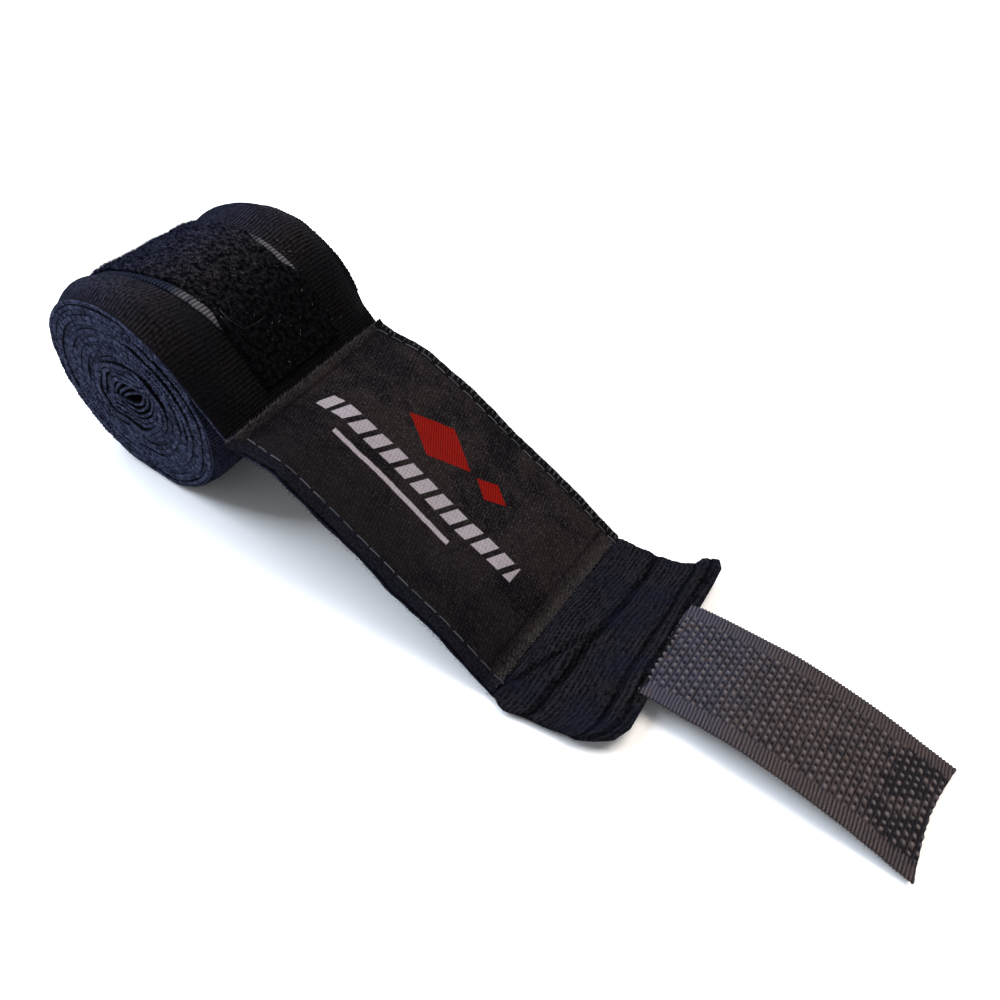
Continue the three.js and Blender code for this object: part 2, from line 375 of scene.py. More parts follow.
def tubes(name, lines, radius, shade, material="thread", sides=6):
    """Many short round threads in one mesh. lines is (count, stations, 3) in mm."""
    count, stations = lines.shape[:2]
    forward = np.gradient(lines, axis=1)
    forward /= np.linalg.norm(forward, axis=2, keepdims=True) + 1e-9
    one = np.cross(forward, np.broadcast_to([0.23, 0.31, 0.92], forward.shape))
    one /= np.linalg.norm(one, axis=2, keepdims=True) + 1e-9
    two = np.cross(forward, one)
    turn = np.arange(sides) * 2 * math.pi / sides
    ring = one[:, :, None] * np.cos(turn)[:, None] + two[:, :, None] * np.sin(turn)[:, None]
    points = (lines[:, :, None] + ring * radius).reshape(-1, 3)
    start = (np.arange(count) * stations * sides)[:, None, None]
    station = (np.arange(stations - 1) * sides)[None, :, None]
    k = np.arange(sides)[None, None, :]
    low, low_next = start + station + k, start + station + (k + 1) % sides
    quads = np.stack([low, low_next, low_next + sides, low + sides], -1).reshape(-1, 4)
    uv = np.repeat(lines.reshape(-1, 3)[:, :2], sides, 0)
    shade = np.repeat(np.broadcast_to(shade, count), stations * sides)
    return mesh_object(name, points, quads, uv, material, shade)


# ------------ materials
class Shader:
    """Builds one procedural material on the millimetre map: u along the strip and v across it."""

    def __init__(self, name, roughness=0.9, specular=0.25, sheen=0.0, sheen_tint=(1, 1, 1)):
        self.material = bpy.data.materials.new(name)
        self.material.use_nodes = True
        self.tree = self.material.node_tree
        self.tree.nodes.clear()
        self.surface = self.new("ShaderNodeBsdfPrincipled")
        self.put(self.new("ShaderNodeOutputMaterial").inputs[0], self.surface.outputs[0])
        for socket, value in (
            ("Roughness", roughness),
            ("Specular IOR Level", specular),
            ("Sheen Weight", sheen),
            ("Sheen Roughness", 0.5),
            ("Sheen Tint", sheen_tint),
        ):
            self.put(self.surface.inputs[socket], value)
        source = self.new("ShaderNodeUVMap")
        source.uv_map = "mm"
        self.uv = source.outputs[0]
        parts = self.new("ShaderNodeSeparateXYZ")
        self.put(parts.inputs[0], self.uv)
        self.u, self.v = parts.outputs[0], parts.outputs[1]

    def new(self, kind):
        return self.tree.nodes.new(kind)

    def put(self, socket, value):
        """Sets a socket to a number or a colour, or links it to another node's output."""
        if isinstance(value, bpy.types.NodeSocket):
            self.tree.links.new(value, socket)
        elif isinstance(value, tuple):
            socket.default_value = (*value, 1.0)[: len(socket.default_value)]
        else:
            socket.default_value = value

    def math(self, operation, *values):
        node = self.new("ShaderNodeMath")
        node.operation = operation
        for socket, value in zip(node.inputs, values):
            self.put(socket, value)
        return node.outputs[0]

    def times(self, one, two):
        return self.math("MULTIPLY", one, two)

    def scaled(self, value, factor, added):
        return self.math("MULTIPLY_ADD", value, factor, added)

    def plus(self, one, two):
        return self.math("ADD", one, two)

    def larger(self, one, two):
        return self.math("MAXIMUM", one, two)

    def away(self, value, middle=0.0):
        """How far a value is from a middle, whichever side it is on."""
        return self.math("ABSOLUTE", self.math("SUBTRACT", value, middle))

    def wave(self, coordinate, pitch):
        """A wave from 0 to 1 along a coordinate in millimetres."""
        turned = self.times(coordinate, 2 * math.pi / pitch)
        return self.scaled(self.math("SINE", turned), 0.5, 0.5)

    def step(self, value, low, high, to_low=0.0, to_high=1.0):
        node = self.new("ShaderNodeMapRange")
        node.interpolation_type = "SMOOTHSTEP"
        for socket, number in zip(node.inputs, (value, low, high, to_low, to_high)):
            self.put(socket, number)
        return node.outputs[0]

    def within(self, value, start, full, fade, end):
        """1 from full to fade, and 0 before start and after end."""
        return self.times(self.step(value, start, full), self.step(value, end, fade))

    def noise(self, along, across, detail=2.0, rough=0.5, shift=0.0, warp=0.0):
        """Noise from 0 to 1, with that many bumps to a millimetre each way."""
        place = self.new("ShaderNodeVectorMath")
        place.operation = "MULTIPLY_ADD"
        vectors = (self.uv, (along, across, 1), (shift, shift * 0.7, shift * 1.3))
        for socket, value in zip(place.inputs, vectors):
            self.put(socket, value)
        node = self.new("ShaderNodeTexNoise")
        settings = (("Scale", 1.0), ("Detail", detail), ("Roughness", rough), ("Distortion", warp))
        for socket, value in (*settings, ("Vector", place.outputs[0])):
            self.put(node.inputs[socket], value)
        return node.outputs[0]

    def spots(self, low, high, most, *noise):
        """A mask that grows to most where noise passes from low to high."""
        return self.step(self.noise(*noise), low, high, 0, most)

    def mix(self, share, one, two):
        node = self.new("ShaderNodeMix")
        node.data_type = "RGBA"
        for socket, value in ((0, share), (6, one), (7, two)):
            self.put(node.inputs[socket], value)
        return node.outputs[2]

    def coats(self, colour, *coats):
        """A colour under coats of paint, each given as its mask and its colour."""
        for mask, paint in coats:
            colour = self.mix(mask, colour, paint)
        return colour

    def shade(self):
        node = self.new("ShaderNodeAttribute")
        node.attribute_name = "shade"
        return node.outputs["Fac"]

    def finish(self, colour, height=None, distance=0.0002, strength=1.0, roughness=None):
        self.put(self.surface.inputs["Base Color"], colour)
        if roughness is not None:
            self.put(self.surface.inputs["Roughness"], roughness)
        if height is not None:
            node = self.new("ShaderNodeBump")
            for socket, value in (("Strength", strength), ("Distance", distance), ("Height", height)):
                self.put(node.inputs[socket], value)
            self.put(self.surface.inputs["Normal"], node.outputs[0])
        return self.material


def band_material():
    """Elastic cotton band: crosswise ribs, short fuzz and a bluer selvedge, with painted shade between
    the turns, a painted cool light over the top of the roll and painted shade from the lower part of the
    outer turn on.
    """
    m = Shader("band_weave", 0.95, 0.03, 0.012, (0.5, 0.6, 1.0))
    ribs = m.wave(m.scaled(m.noise(0.05, 0.15, 2), 0.9, m.u), RIB)
    stitches = m.noise(1.5, 1.35, 2, 0.6)
    fuzz = m.noise(5, 5, 3, 0.7, 3)
    depth = m.away(m.v)
    beads = m.times(m.scaled(ribs, 0.85, 0.15), m.scaled(m.step(stitches, 0.38, 0.56), 0.85, 0.15))
    # painted cool light: the ground and the rib tops are painted bluer and lighter over the top of the
    # roll
    upper = m.step(m.u, TOP_OF_ROLL + 20, TOP_OF_ROLL - 10)
    drawn = m.within(m.u, 0, 4, WOUND_FROM - 30, WOUND_FROM - 20)
    blue = m.coats(
        (0.0034, 0.0048, 0.014),
        (m.spots(0.33, 0.68, 1, 1.5, 3, 3, 0.75, 5), (0.074, 0.084, 0.15)),
        (m.spots(0.4, 0.6, 0.55, 0.5, 3, 3, 0.7, 15), (0.006, 0.007, 0.013)),
        (m.times(drawn, 0.72), (0.0034, 0.0042, 0.009)),
    )
    selvedge = m.times(m.step(depth, 24.65, 24.9), m.step(m.u, -14, -2, 0.35, 1))
    # painted shade: the sides of each turn's selvedge, in the gaps between the turns, are painted darker
    turn_gap_shade = m.within(depth, 24.55, 24.64, 24.78, 24.92)
    colour = m.coats(
        m.mix(upper, (0.0009, 0.0008, 0.001), (0.0015, 0.0019, 0.0048)),
        (beads, m.mix(upper, (0.0215, 0.0172, 0.0182), (0.0215, 0.024, 0.045))),
        (m.spots(0.45, 0.7, 0.4, 0.12, 0.12, 3, 0.55, 9), (0.0045, 0.0048, 0.0088)),
        (m.step(fuzz, 0.62, 0.8, 0, 0.35), (0.027, 0.025, 0.027)),
        # painted shade: darker from the lower part of the outer turn on, and so along the drawn-out strip
        (m.step(m.u, -36, -14, 0, 0.72), (0.0008, 0.0007, 0.0008)),
        (selvedge, blue),
        (m.times(turn_gap_shade, 0.5), (0.0022, 0.003, 0.0075)),
    )
    return m.finish(colour, m.plus(m.times(stitches, 0.8), m.times(fuzz, 0.7)), 0.0002, 0.9)


def fibre_material():
    """Loose fibres, from near black to light, with a painted cool light that turns them bluish over the
    top of the roll.
    """
    m = Shader("fibres", 0.9, 0.03)
    blue = m.mix(m.step(m.shade(), 0.0, 0.8), (0.001, 0.0015, 0.005), (0.026, 0.031, 0.062))
    return m.finish(m.coats(
        (0.0018, 0.0021, 0.0045),
        (m.step(m.shade(), 0.0, 0.6), (0.034, 0.032, 0.04)),
        (m.step(m.shade(), 0.6, 1.0), (0.16, 0.15, 0.15)),
        # painted cool light: bluish over the top of the roll
        (m.step(m.u, TOP_OF_ROLL + 22, TOP_OF_ROLL, 0, 0.9), blue),
    ))


def pile_material():
    """Brushed loop pile: clumps, curled lighter fibres and a near black ground, with a painted cool light
    over the top of the roll and painted shade low on the roll.
    """
    m = Shader("loop_pile", 1.0, 0.0, 0.01, (0.8, 0.85, 1.0))
    clumps = m.noise(1.0, 1.0, 4, 0.7)
    curls = m.noise(1.25, 1.25, 3, 0.7, 12, 2.0)
    # painted cool light: the top of the roll is painted bluer, and its light curls too
    top = m.step(m.u, TOP_OF_ROLL + 20, TOP_OF_ROLL - 4)
    # painted shade: the light curls fade out low on the roll
    upper = m.step(m.u, -28, -46)
    lighter = m.times(m.step(m.away(curls, 0.5), 0.04, 0.008, 0, 0.95), m.scaled(upper, 0.85, 0.15))
    lighter = m.times(lighter, m.step(clumps, 0.46, 0.56, 0.1, 1))
    blue = m.mix(m.step(clumps, 0.42, 0.6), (0.001, 0.0014, 0.004), (0.0095, 0.0125, 0.033))
    colour = m.coats(
        (0.0003, 0.0003, 0.0005),
        (m.step(clumps, 0.44, 0.6), (0.0165, 0.014, 0.0165)),
        (m.times(top, 0.7), blue),
        (m.spots(0.62, 0.8, 0.4, 0.4, 2.2, 3, 0.6, 8), (0.016, 0.016, 0.022)),
        (lighter, m.mix(top, (0.11, 0.094, 0.098), (0.044, 0.052, 0.098))),
        # painted shade: darker low on the roll
        (m.step(m.u, -34, -16, 0, 0.75), (0.0008, 0.0008, 0.001)),
    )
    return m.finish(colour, m.plus(clumps, curls), 0.0005, 1.0)


def web_material():
    """The loop tape's woven selvedges: close ribs, rubbed light where the pile is thin, and painted shade
    low on the roll.
    """
    m = Shader("loop_web", 0.85, 0.05, 0.012, (0.6, 0.7, 1.0))
    ribs = m.wave(m.u, WEB_RIB)
    grain = m.noise(1.5, 4, 3, 0.6)
    sides = []
    for (start, end), toward in ((WORN_NEAR, -0.5), (WORN_FAR, 0.5)):
        rubbed = m.within(m.u, start - 5, start, end - 2, end + 2)
        sides.append(m.times(rubbed, m.step(m.v, -toward, toward)))
    worn = m.times(m.larger(*sides), m.spots(0.2, 0.5, 1, 0.5, 0.2, 2, 0.5, 3))
    # painted shade: below the near worn stretch the web and its grain are painted darker
    low = m.step(m.u, WORN_NEAR[1] - 1, WORN_NEAR[1] + 2)
    colour = m.coats(
        m.mix(low, (0.0065, 0.0085, 0.0185), (0.0013, 0.0014, 0.0022)),
        (m.times(m.scaled(ribs, 0.7, 0.3), worn), (0.09, 0.083, 0.088)),
        (m.step(grain, 0.55, 0.75, 0, 0.4), m.mix(low, (0.02, 0.021, 0.029), (0.005, 0.005, 0.007))),
    )
    return m.finish(colour, m.plus(ribs, m.times(grain, 0.4)), 0.0002, 0.9)


def label_ground(m, weft, warp, mottled):
    """The label's charcoal satin, with faded corded ends, a bluish near border, painted shade towards the
    near edge and painted shade under the far overlock.
    """
    thick = m.step(m.noise(0.9, 0.9, 2, 0.5, 23), 0.3, 0.6, 0.25, 1)
    ends = m.larger(m.step(m.u, 3.4, 1.0), m.step(m.u, LABEL_LENGTH - 5, LABEL_LENGTH - 1.5))
    cord = m.scaled(m.wave(m.scaled(m.v, 0.5, m.u), 0.95), 0.6, 0.4)
    faded = m.times(m.step(m.noise(1.3, 1.3, 3, 0.75, 11), 0.42, 0.6, 0.05, 0.85), cord)
    far_seam = [LABEL_LENGTH - inward for inward in (5.6, 5.2, 4.9, 4.4)]
    seam = m.larger(m.within(m.u, 3.0, 3.5, 3.9, 4.4), m.within(m.u, *far_seam))
    border = m.step(m.v, -LABEL_HALF + 3.4, -LABEL_HALF + 2.4)
    border = m.times(border, m.step(m.noise(1.2, 0.9, 3, 0.6, 43), 0.3, 0.6, 0.45, 0.95))
    fuzzy = m.spots(0.36, 0.66, 1, 2.0, 1.6, 3, 0.7, 47)
    return m.coats(
        (0.0016, 0.0013, 0.0022),
        (m.step(mottled, 0.38, 0.6), (0.008, 0.0056, 0.006)),
        (m.times(m.times(weft, warp), thick), (0.0225, 0.017, 0.0182)),
        (m.spots(0.56, 0.78, 0.5, 1.1, 3.5, 3, 0.6, 2), (0.022, 0.017, 0.0175)),
        (m.spots(0.5, 0.7, 0.55, 0.3, 1.6, 3, 0.65, 17), (0.015, 0.0115, 0.0125)),
        (m.spots(0.52, 0.7, 0.5, 0.35, 0.35, 3, 0.6, 29), (0.0022, 0.0016, 0.0022)),
        (m.spots(0.56, 0.68, 0.65, 2.2, 2.2, 2, 0.6, 41), (0.037, 0.034, 0.031)),
        (m.step(mottled, 0.5, 0.36, 0, 0.28), (0.002, 0.0019, 0.0036)),
        # painted shade: darker towards the near edge
        (m.step(m.v, 4, -20, 0, 0.55), (0.0022, 0.0018, 0.0028)),
        (m.times(ends, faded), (0.033, 0.029, 0.027)),
        (m.times(seam, 0.45), (0.0012, 0.001, 0.0012)),
        (border, m.mix(fuzzy, (0.0012, 0.0014, 0.003), (0.0078, 0.0086, 0.0135))),
        # painted shade: a dark strip under the far overlock threads
        (m.step(m.v, LABEL_HALF - 2.6, LABEL_HALF - 2.2, 0, 0.9), (0.0014, 0.0012, 0.0014)),
    )


def label_material():
    """Charcoal satin with a plain motif of blocks, a stripe and lozenges."""
    m = Shader("label_weave", 0.62, 0.015)
    weft = m.wave(m.scaled(m.v, 0.35, m.u), 0.82)
    warp = m.wave(m.scaled(m.u, -0.2, m.v), 0.74)
    mottled = m.noise(0.075, 0.11, 3, 0.55, 5)

    def box(u, v, half_u, half_v, soft=0.12):
        du = m.math("SUBTRACT", m.away(m.u, u), half_u)
        dv = m.math("SUBTRACT", m.away(m.v, v), half_v)
        return m.step(m.larger(du, dv), soft, -soft)

    def lozenge(u, v, half_u, half_v, soft=0.03):
        across = m.math("DIVIDE", m.away(m.v, v), half_v)
        return m.step(m.plus(m.math("DIVIDE", m.away(m.u, u), half_u), across), 1 + soft, 1 - soft)

    slanted = m.math("DIVIDE", m.scaled(m.v, -0.45, m.u), 4.6)
    blocks = m.step(m.away(m.math("FRACT", slanted), 0.5), 0.36, 0.33)
    light = m.larger(m.times(box(36.5, -3.0, 28.5, 2.1), blocks), box(33.0, -8.4, 17.0, 0.55))
    red = m.larger(lozenge(33.0, 8.0, 9.5, 5.0), lozenge(49.0, 8.0, 4.6, 2.6))
    satin = m.wave(m.scaled(m.v, 0.8, m.u), 0.72)
    worn = m.times(m.scaled(m.times(weft, warp), 0.6, 0.4), m.noise(1.1, 3.5, 3, 0.6, 2))
    worn = m.step(worn, 0.08, 0.34, 0.6, 1)
    colour = m.coats(
        label_ground(m, weft, warp, mottled),
        (m.times(light, worn), (0.245, 0.215, 0.235)),
        (m.times(red, worn), m.mix(satin, (0.09, 0.002, 0.0012), (0.2, 0.0052, 0.0026))),
    )
    height = m.plus(m.plus(m.times(weft, 0.5), m.times(warp, 0.4)), m.times(m.larger(light, red), 0.4))
    return m.finish(colour, height, 0.00007, 0.7, m.step(mottled, 0.3, 0.7, 0.68, 0.52))


def thread_material():
    """Sewing thread, from near black to light grey by its own shade."""
    m = Shader("thread", 0.85, 0.04)
    grain = m.noise(6, 6, 2, 0.5)
    coats = ((grain, (0.0042, 0.0042, 0.0065)), (m.shade(), (0.075, 0.075, 0.085)))
    return m.finish(m.coats((0.001, 0.001, 0.0014), *coats), grain, 0.0001, 0.6)


def knit_material():
    """Navy-black ribbed knit of the gathered end."""
    m = Shader("end_knit", 0.95, 0.03, 0.012, (0.5, 0.6, 1.0))
    stitches = m.noise(2.4, 0.9, 3, 0.7)
    fuzz = m.noise(6, 6, 2, 0.6, 4)
    # the shade attribute brings in the hem's tone, painted darker in its creases as painted shade
    tone = m.plus(m.shade(), m.scaled(stitches, 1.6, -0.8))
    colour = m.coats(
        (0.0004, 0.0004, 0.0008),
        (m.step(tone, 0.08, 0.95), (0.0155, 0.0145, 0.0185)),
        (m.spots(0.42, 0.68, 0.4, 0.1, 0.13, 3, 0.55, 6), (0.003, 0.0043, 0.011)),
        (m.step(fuzz, 0.6, 0.8, 0, 0.5), (0.026, 0.025, 0.029)),
    )
    return m.finish(colour, m.plus(stitches, m.times(fuzz, 0.5)), 0.0002, 0.9)


def tape_material():
    """Grey woven hook tape, bluish by the hem and stained navy towards its end, with painted shade in its
    grooves and holes.
    """
    m = Shader("hook_web", 0.75, 0.1)
    grain = m.noise(3, 5, 3, 0.6)
    tone = m.shade()
    patches = m.plus(m.noise(0.19, 0.21, 3, 0.6, 21), m.step(m.u, 134, 152, -0.42, 0.06))
    patches = m.math("SUBTRACT", patches, m.step(m.away(m.v), 8, 12, 0, 0.3))
    stained = m.times(m.step(patches, 0.42, 0.52, 0, 0.85), m.step(tone, 0.9, 0.55))
    colour = m.coats(
        (0.033, 0.0245, 0.025),
        (m.noise(0.12, 0.12, 2, 0.5, 3), (0.05, 0.038, 0.038)),
        (m.step(m.u, 132, 106, 0, 0.85), (0.034, 0.036, 0.058)),
        (m.spots(0.5, 0.68, 0.55, 0.35, 0.5, 3, 0.65, 31), (0.058, 0.037, 0.029)),
        (m.spots(0.56, 0.7, 0.5, 0.5, 0.4, 3, 0.65, 37), (0.018, 0.018, 0.028)),
        (stained, (0.0045, 0.0045, 0.0075)),
        (m.step(grain, 0.35, 0.7, 0.35, 0), (0.014, 0.011, 0.013)),
        # painted shade: near black where the tone is low, in the grooves and holes
        (m.step(tone, 0.08, 0.55, 0.95, 0), (0.0025, 0.002, 0.003)),
        (m.step(tone, 0.55, 1.0, 0, 0.7), (0.118, 0.094, 0.088)),
    )
    return m.finish(colour, grain, 0.00008, 0.6)


def hook_material():
    """Fine nylon hooks, a little glossy."""
    m = Shader("hook_field", 0.5, 0.5)
    grain = m.noise(3, 3, 3, 0.6)
    return m.finish(m.mix(grain, (0.03, 0.03, 0.034), (0.1, 0.098, 0.105)), grain, 0.0001, 0.5)


MATERIALS = {
    "band": band_material(),
    "fibre": fibre_material(),
    "pile": pile_material(),
    "web": web_material(),
    "label": label_material(),
    "thread": thread_material(),
    "knit": knit_material(),
    "tape": tape_material(),
    "hooks": hook_material(),
}


# ------------ fabric reliefs
def degrees(s):
    """The angle on the outer turn at distances s, in degrees."""
    return np.degrees(on_path(s, 5))


def turn_lie(s, y):
    """The slow unevenness of the outer turn, which all that lies on it follows."""
    return 0.22 * cloudy(s / 9, y / 7, 31)


def tail_lie(s, y):
    """The slow unevenness of the drawn-out band and its label."""
    return 0.3 * cloudy(s / 15, y / 13, 41, 2)


def band_relief(s, y):
    """How far the band's outer face stands off its nominal height: ribs, puffy margins, a low middle."""
    angle = degrees(s)
    on_roll = 1 - ease(s, -7, -1)
    back = ease(angle, 60, 150) * (1 - ease(angle, 200, 240))
    near = 1.25 * bump(y, -19.0, 3.6) - 1.1 * ease(-y, 21, 25)
    far = (1.0 + 1.2 * back) * bump(y, 19.0, 3.8) - 0.9 * ease(y, 21.5, 25)
    puff = (near + far) * on_roll * (1 - 0.75 * ease(angle, 170, 215))
    ribs = 0.16 * ripple(s + 0.35 * cloudy(s / 12, y / 9, 33), RIB)
    ribs = ribs * (0.62 + 0.38 * lattice(s / 1.2, y / 0.95, 34))
    return puff + turn_lie(s, y) * on_roll + ribs


def tail_relief(s, y):
    return 0.06 * ripple(s, RIB) - 0.12 + tail_lie(s, y)


def web_relief(s, y):
    return 0.07 * ripple(s + 0 * y, WEB_RIB)


def pile_relief(s, y):
    return 0.42 * cloudy(s / 1.1, y / 1.1, 82, 3) + 0.22 * cloudy(s / 5, y / 5, 83, 2)


def label_relief(s, y):
    edge = np.abs(y)
    lie = tail_lie(s, y) + 0.1 * cloudy(s / 4, y / 5, 42, 2)
    seam = -0.16 * bump(edge, 21.8, 0.55) + 0.14 * bump(edge, 23.9, 0.9)
    fray = 0.25 * bump(s, 1.3, 1.0) + 0.2 * bump(s, LABEL_LENGTH - 1.2, 1.0)
    return lie + seam + fray


def hem_relief(u, v):
    """Relief and tone of the gathered end, with u from the label and v from the middle; the tone is
    painted darker in the creases, as painted shade.
    """
    shift = 1.1 * cloudy(u / 7, v / 10, 51) + 1.5 * bump(v, 0, 16) * bump(u, 12, 6)
    phase = (u + shift) / 1.05
    beads = np.sin(2 * math.pi * (v + 0.5 * cloudy(u / 2, v / 3, 52)) + 2.5 * np.floor(phase))
    wave = ripple(phase) * (0.6 + 0.4 * beads) * (0.75 + 0.55 * cloudy(u / 3, v / 3.5, 57, 3))
    ribs = 0.23 * wave + 0.05 * cloudy(u / 0.8, v / 0.7, 58, 2)
    line = 12.3 + 1.3 * cloudy(v / 9, 0.5, 53) + 0.05 * v
    gather = -0.45 * bump(u, line, 0.9) + 0.32 * bump(u, line + 2.1, 1.4)
    gather = gather + 0.28 * bump(u, line - 2.0, 1.3)
    slant = 2.2 + (v + 22) * 0.42 + 0.6 * cloudy(v / 6, 1.5, 54)
    near = 1 - ease(v, -8, 2)
    fold = (-0.45 * bump(u, slant, 0.7) + 0.42 * bump(u, slant + 1.4, 1.0)) * near
    rolled = (0.85 + 0.5 * ease(v, 8, 24)) * bump(u, 24.9, 1.5)
    rim = rolled - 0.65 * bump(u, 23.0, 0.55) - 0.3 * bump(u, 26.3, 0.35)
    lumps = 0.45 * cloudy(u / 6, v / 8, 55, 2) + 0.22 * cloudy(u / 1.6, v / 4.5, 56, 2)
    # painted shade: the tone is darker in the gather, fold and rim creases
    crease_shade = bump(u, line, 0.9) + bump(u, slant, 0.7) * near + bump(u, 23.0, 0.6) + bump(u, 26.3, 0.4)
    tone = 0.45 + 0.36 * wave + 0.14 * cloudy(u / 0.8, v / 1.4, 58, 2) + 0.12 * gather - 0.3 * crease_shade
    return ribs + gather + fold + rim + lumps, np.clip(tone, 0, 1)


def tape_relief(s, y):
    """Relief and tone of the hook tape's back: ribbed selvedges, and rows of bumps with holes between;
    the tone is painted dark in the grooves and holes, as painted shade.
    """
    side = ease(np.abs(y), 8.9, 9.5)
    ribs = ripple(s + 0.1 * y + 0.1 * cloudy(s / 1.5, y / 1.2, 66), TAB_RIB)
    ribs = ribs * (0.75 + 0.35 * cloudy(s / 0.9, y / 0.6, 67, 2))
    row = s / 1.36 + 0.16 * cloudy(s / 8, y / 6, 61) + 0.1 * cloudy(s / 1.7, y / 1.3, 68)
    up = row - np.floor(row) - 0.5
    place = y / 1.68 + 0.5 * np.floor(row) + 0.28 * up + 0.24 * cloudy(s / 2.0, y / 1.7, 62)
    over = place - np.floor(place) - 0.5
    knob = bump(up, 0, 0.27) * bump(over, 0, 0.25)
    groove = bump(np.abs(up), 0.5, 0.09)
    hole = bump(up, 0, 0.24) * bump(np.abs(over), 0.5, 0.17)
    rough = 0.5 + 0.5 * cloudy(s / 4, y / 3.2, 63, 2)
    rough = rough + 0.22 * np.where(np.mod(np.floor(row), 2) > 0.5, 1, -1)
    grain = cloudy(s / 0.8, y / 0.8, 64, 2)
    middle = 0.36 * knob * (0.55 + 0.6 * rough) - 0.12 * groove - 0.16 * hole + 0.07 * grain
    height = middle * (1 - side) + (0.12 * ribs + 0.04) * side
    # painted shade: the tone is darker in the grooves and the holes
    tone = 0.46 + 0.62 * knob * (0.5 + 0.7 * rough) - 0.4 * groove - 0.55 * hole + 0.14 * grain
    return height, np.clip(tone * (1 - side) + (0.5 + 0.42 * ribs) * side, 0, 1)


# ------------ putting pieces on the frame
# Each link of the strip: its start and end, the bodies before and after its joint, and where it bends
LINKS = {
    "crease": (OUTER_END, 10.8, "roll", "label_1", -3.0, 3.0),
    "1": (10.8, 23.4, "label_1", "label_2", 10.8, 20.4),
    "2": (23.4, 39.0, "label_2", "label_3", 23.4, 39.0),
    "3": (39.0, 54.6, "label_3", "label_4", 39.0, 54.6),
    "4": (54.6, 77.4, "label_4", "label_5", 54.6, 70.2),
    "hem_flat": (HEM_LOW, 84.35, "label_5", "hem_flat", 77.0, 80.2),
    "hem_end": (84.35, 103.9, "hem_flat", "hem_end", 84.35, 97.0),
    "tab_root": (101.5, 111.6, "hem_end", "tab_root", 101.5, 109.4),
    "tab_fold": (111.6, 122.45, "tab_root", "tab_fold", 119.95, 122.45),
    "tab_middle": (122.45, 134.0, "tab_fold", "tab_middle", 122.45, 127.0),
    "tab_end": (134.0, 156.7, "tab_middle", "tab_end", 134.0, 146.4),
}
SIDES = {-1: "near", 1: "far"}


def set_on(piece, link, slot, *nodes):
    """Lets a piece ride with the roll, or else leaves it where it was built, and hides the CAD parts that
    it stands for.
    """
    if link == "roll":
        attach(piece, "roll")
    else:
        one, two, start, end = LINKS[link][2:]
        tuple(at(start, 0, 0) * MM)
        tuple(at(end, 0, 0) * MM)
        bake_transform(piece)
    if nodes:
        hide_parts(*nodes)
    return piece


# ------------ the wound band
def noisy_edge(angle, side):
    """How far a turn's selvedge stands out past the band's nominal edge."""
    by_turn = lattice(turn_of(angle), side * 9.0, 71)
    return 0.46 * by_turn + 0.34 * cloudy(angle * 2.2, side * 5.0, 72, 3)


def wound_band():
    """The inner turns, as one long ribbon with blunt uneven selvedges, with its length and its coil."""
    rough_angle = np.arange(OUTER_TO, CREASE_ANGLE + TURNS * 2 * math.pi, math.radians(1.5))
    run = run_along(*spiral(rough_angle)[:2])
    length = float(run[-1])
    run_at = np.arange(0, length, 0.34)[::-1]
    angle = np.interp(run_at, run, rough_angle)
    x, z, nx, nz = spiral(angle)
    turn, around = turn_of(angle), np.mod(angle, 2 * math.pi)
    sway = 0.75 * cloudy(np.cos(around) * 1.7 + 3, np.sin(around) * 1.7 + turn * 0.11, 73, 2)
    dents = 1.5 * bump(around, 4.3, 0.8) + 1.9 * bump(around, 1.35, 0.7) + 0.8 * bump(around, 2.8, 0.5)
    lift = sway * ease(turn, 0.9, 2.4) - ease(turn, TURNS - 3.2, TURNS - 0.4) * dents
    lift = lift + 0.12 * cloudy(angle * 1.3, turn * 0.7, 74, 2)
    knots = ripple(run_at + 0.3 * cloudy(run_at / 3, turn, 78, 2), RIB)
    half = 0.49 + 0.06 * ease(turn, 1.5, 3.2) + 0.05 * cloudy(run_at / 5, turn, 75, 2) + 0.03 * knots
    profile = []
    for t in np.linspace(-math.pi / 2, math.pi / 2, 7):
        profile.append((SELVEDGE * abs(math.cos(t)) ** 0.6, math.copysign(abs(math.sin(t)) ** 0.8, t)))
    ring, ring_v = [], []
    for side in (1, -1):
        knobs = 0.12 * knots + 0.16 * cloudy(run_at / 0.9, side * 3.0, 79, 2)
        edge = HALF_BAND - 0.3 + noisy_edge(angle, side)
        for out, up in profile[::side]:
            height = up * half + lift
            y = side * (edge + out * (1 + knobs * 1.2) + knobs * (0.4 + out))
            ring.append(stacked(x + nx * height, y, z + nz * height))
            ring_v.append(side * (HALF_BAND + out - SELVEDGE))
    ring = np.stack(ring, 1)
    rows, columns = ring.shape[:2]
    index = np.arange(rows * columns).reshape(rows, columns)
    ends = []
    for row, order in ((index[0], -1), (index[-1], 1)):
        for k in range(columns // 2 - 1):
            ends.append([row[k], row[k + 1], row[-2 - k], row[-1 - k]][::order])
    index = np.concatenate([index, index[:, :1]], 1)
    corners = (index[:-1, :-1], index[:-1, 1:], index[1:, 1:], index[1:, :-1])
    quads = np.concatenate([np.stack([c.ravel() for c in corners], -1), np.array(ends)])
    uv = stacked(WOUND_FROM + run_at[:, None], np.array(ring_v)).reshape(-1, 2)
    made = mesh_object("wound_band", ring.reshape(-1, 3), quads, uv, "band")
    return made, length, (angle, x, z, nx, nz, lift)


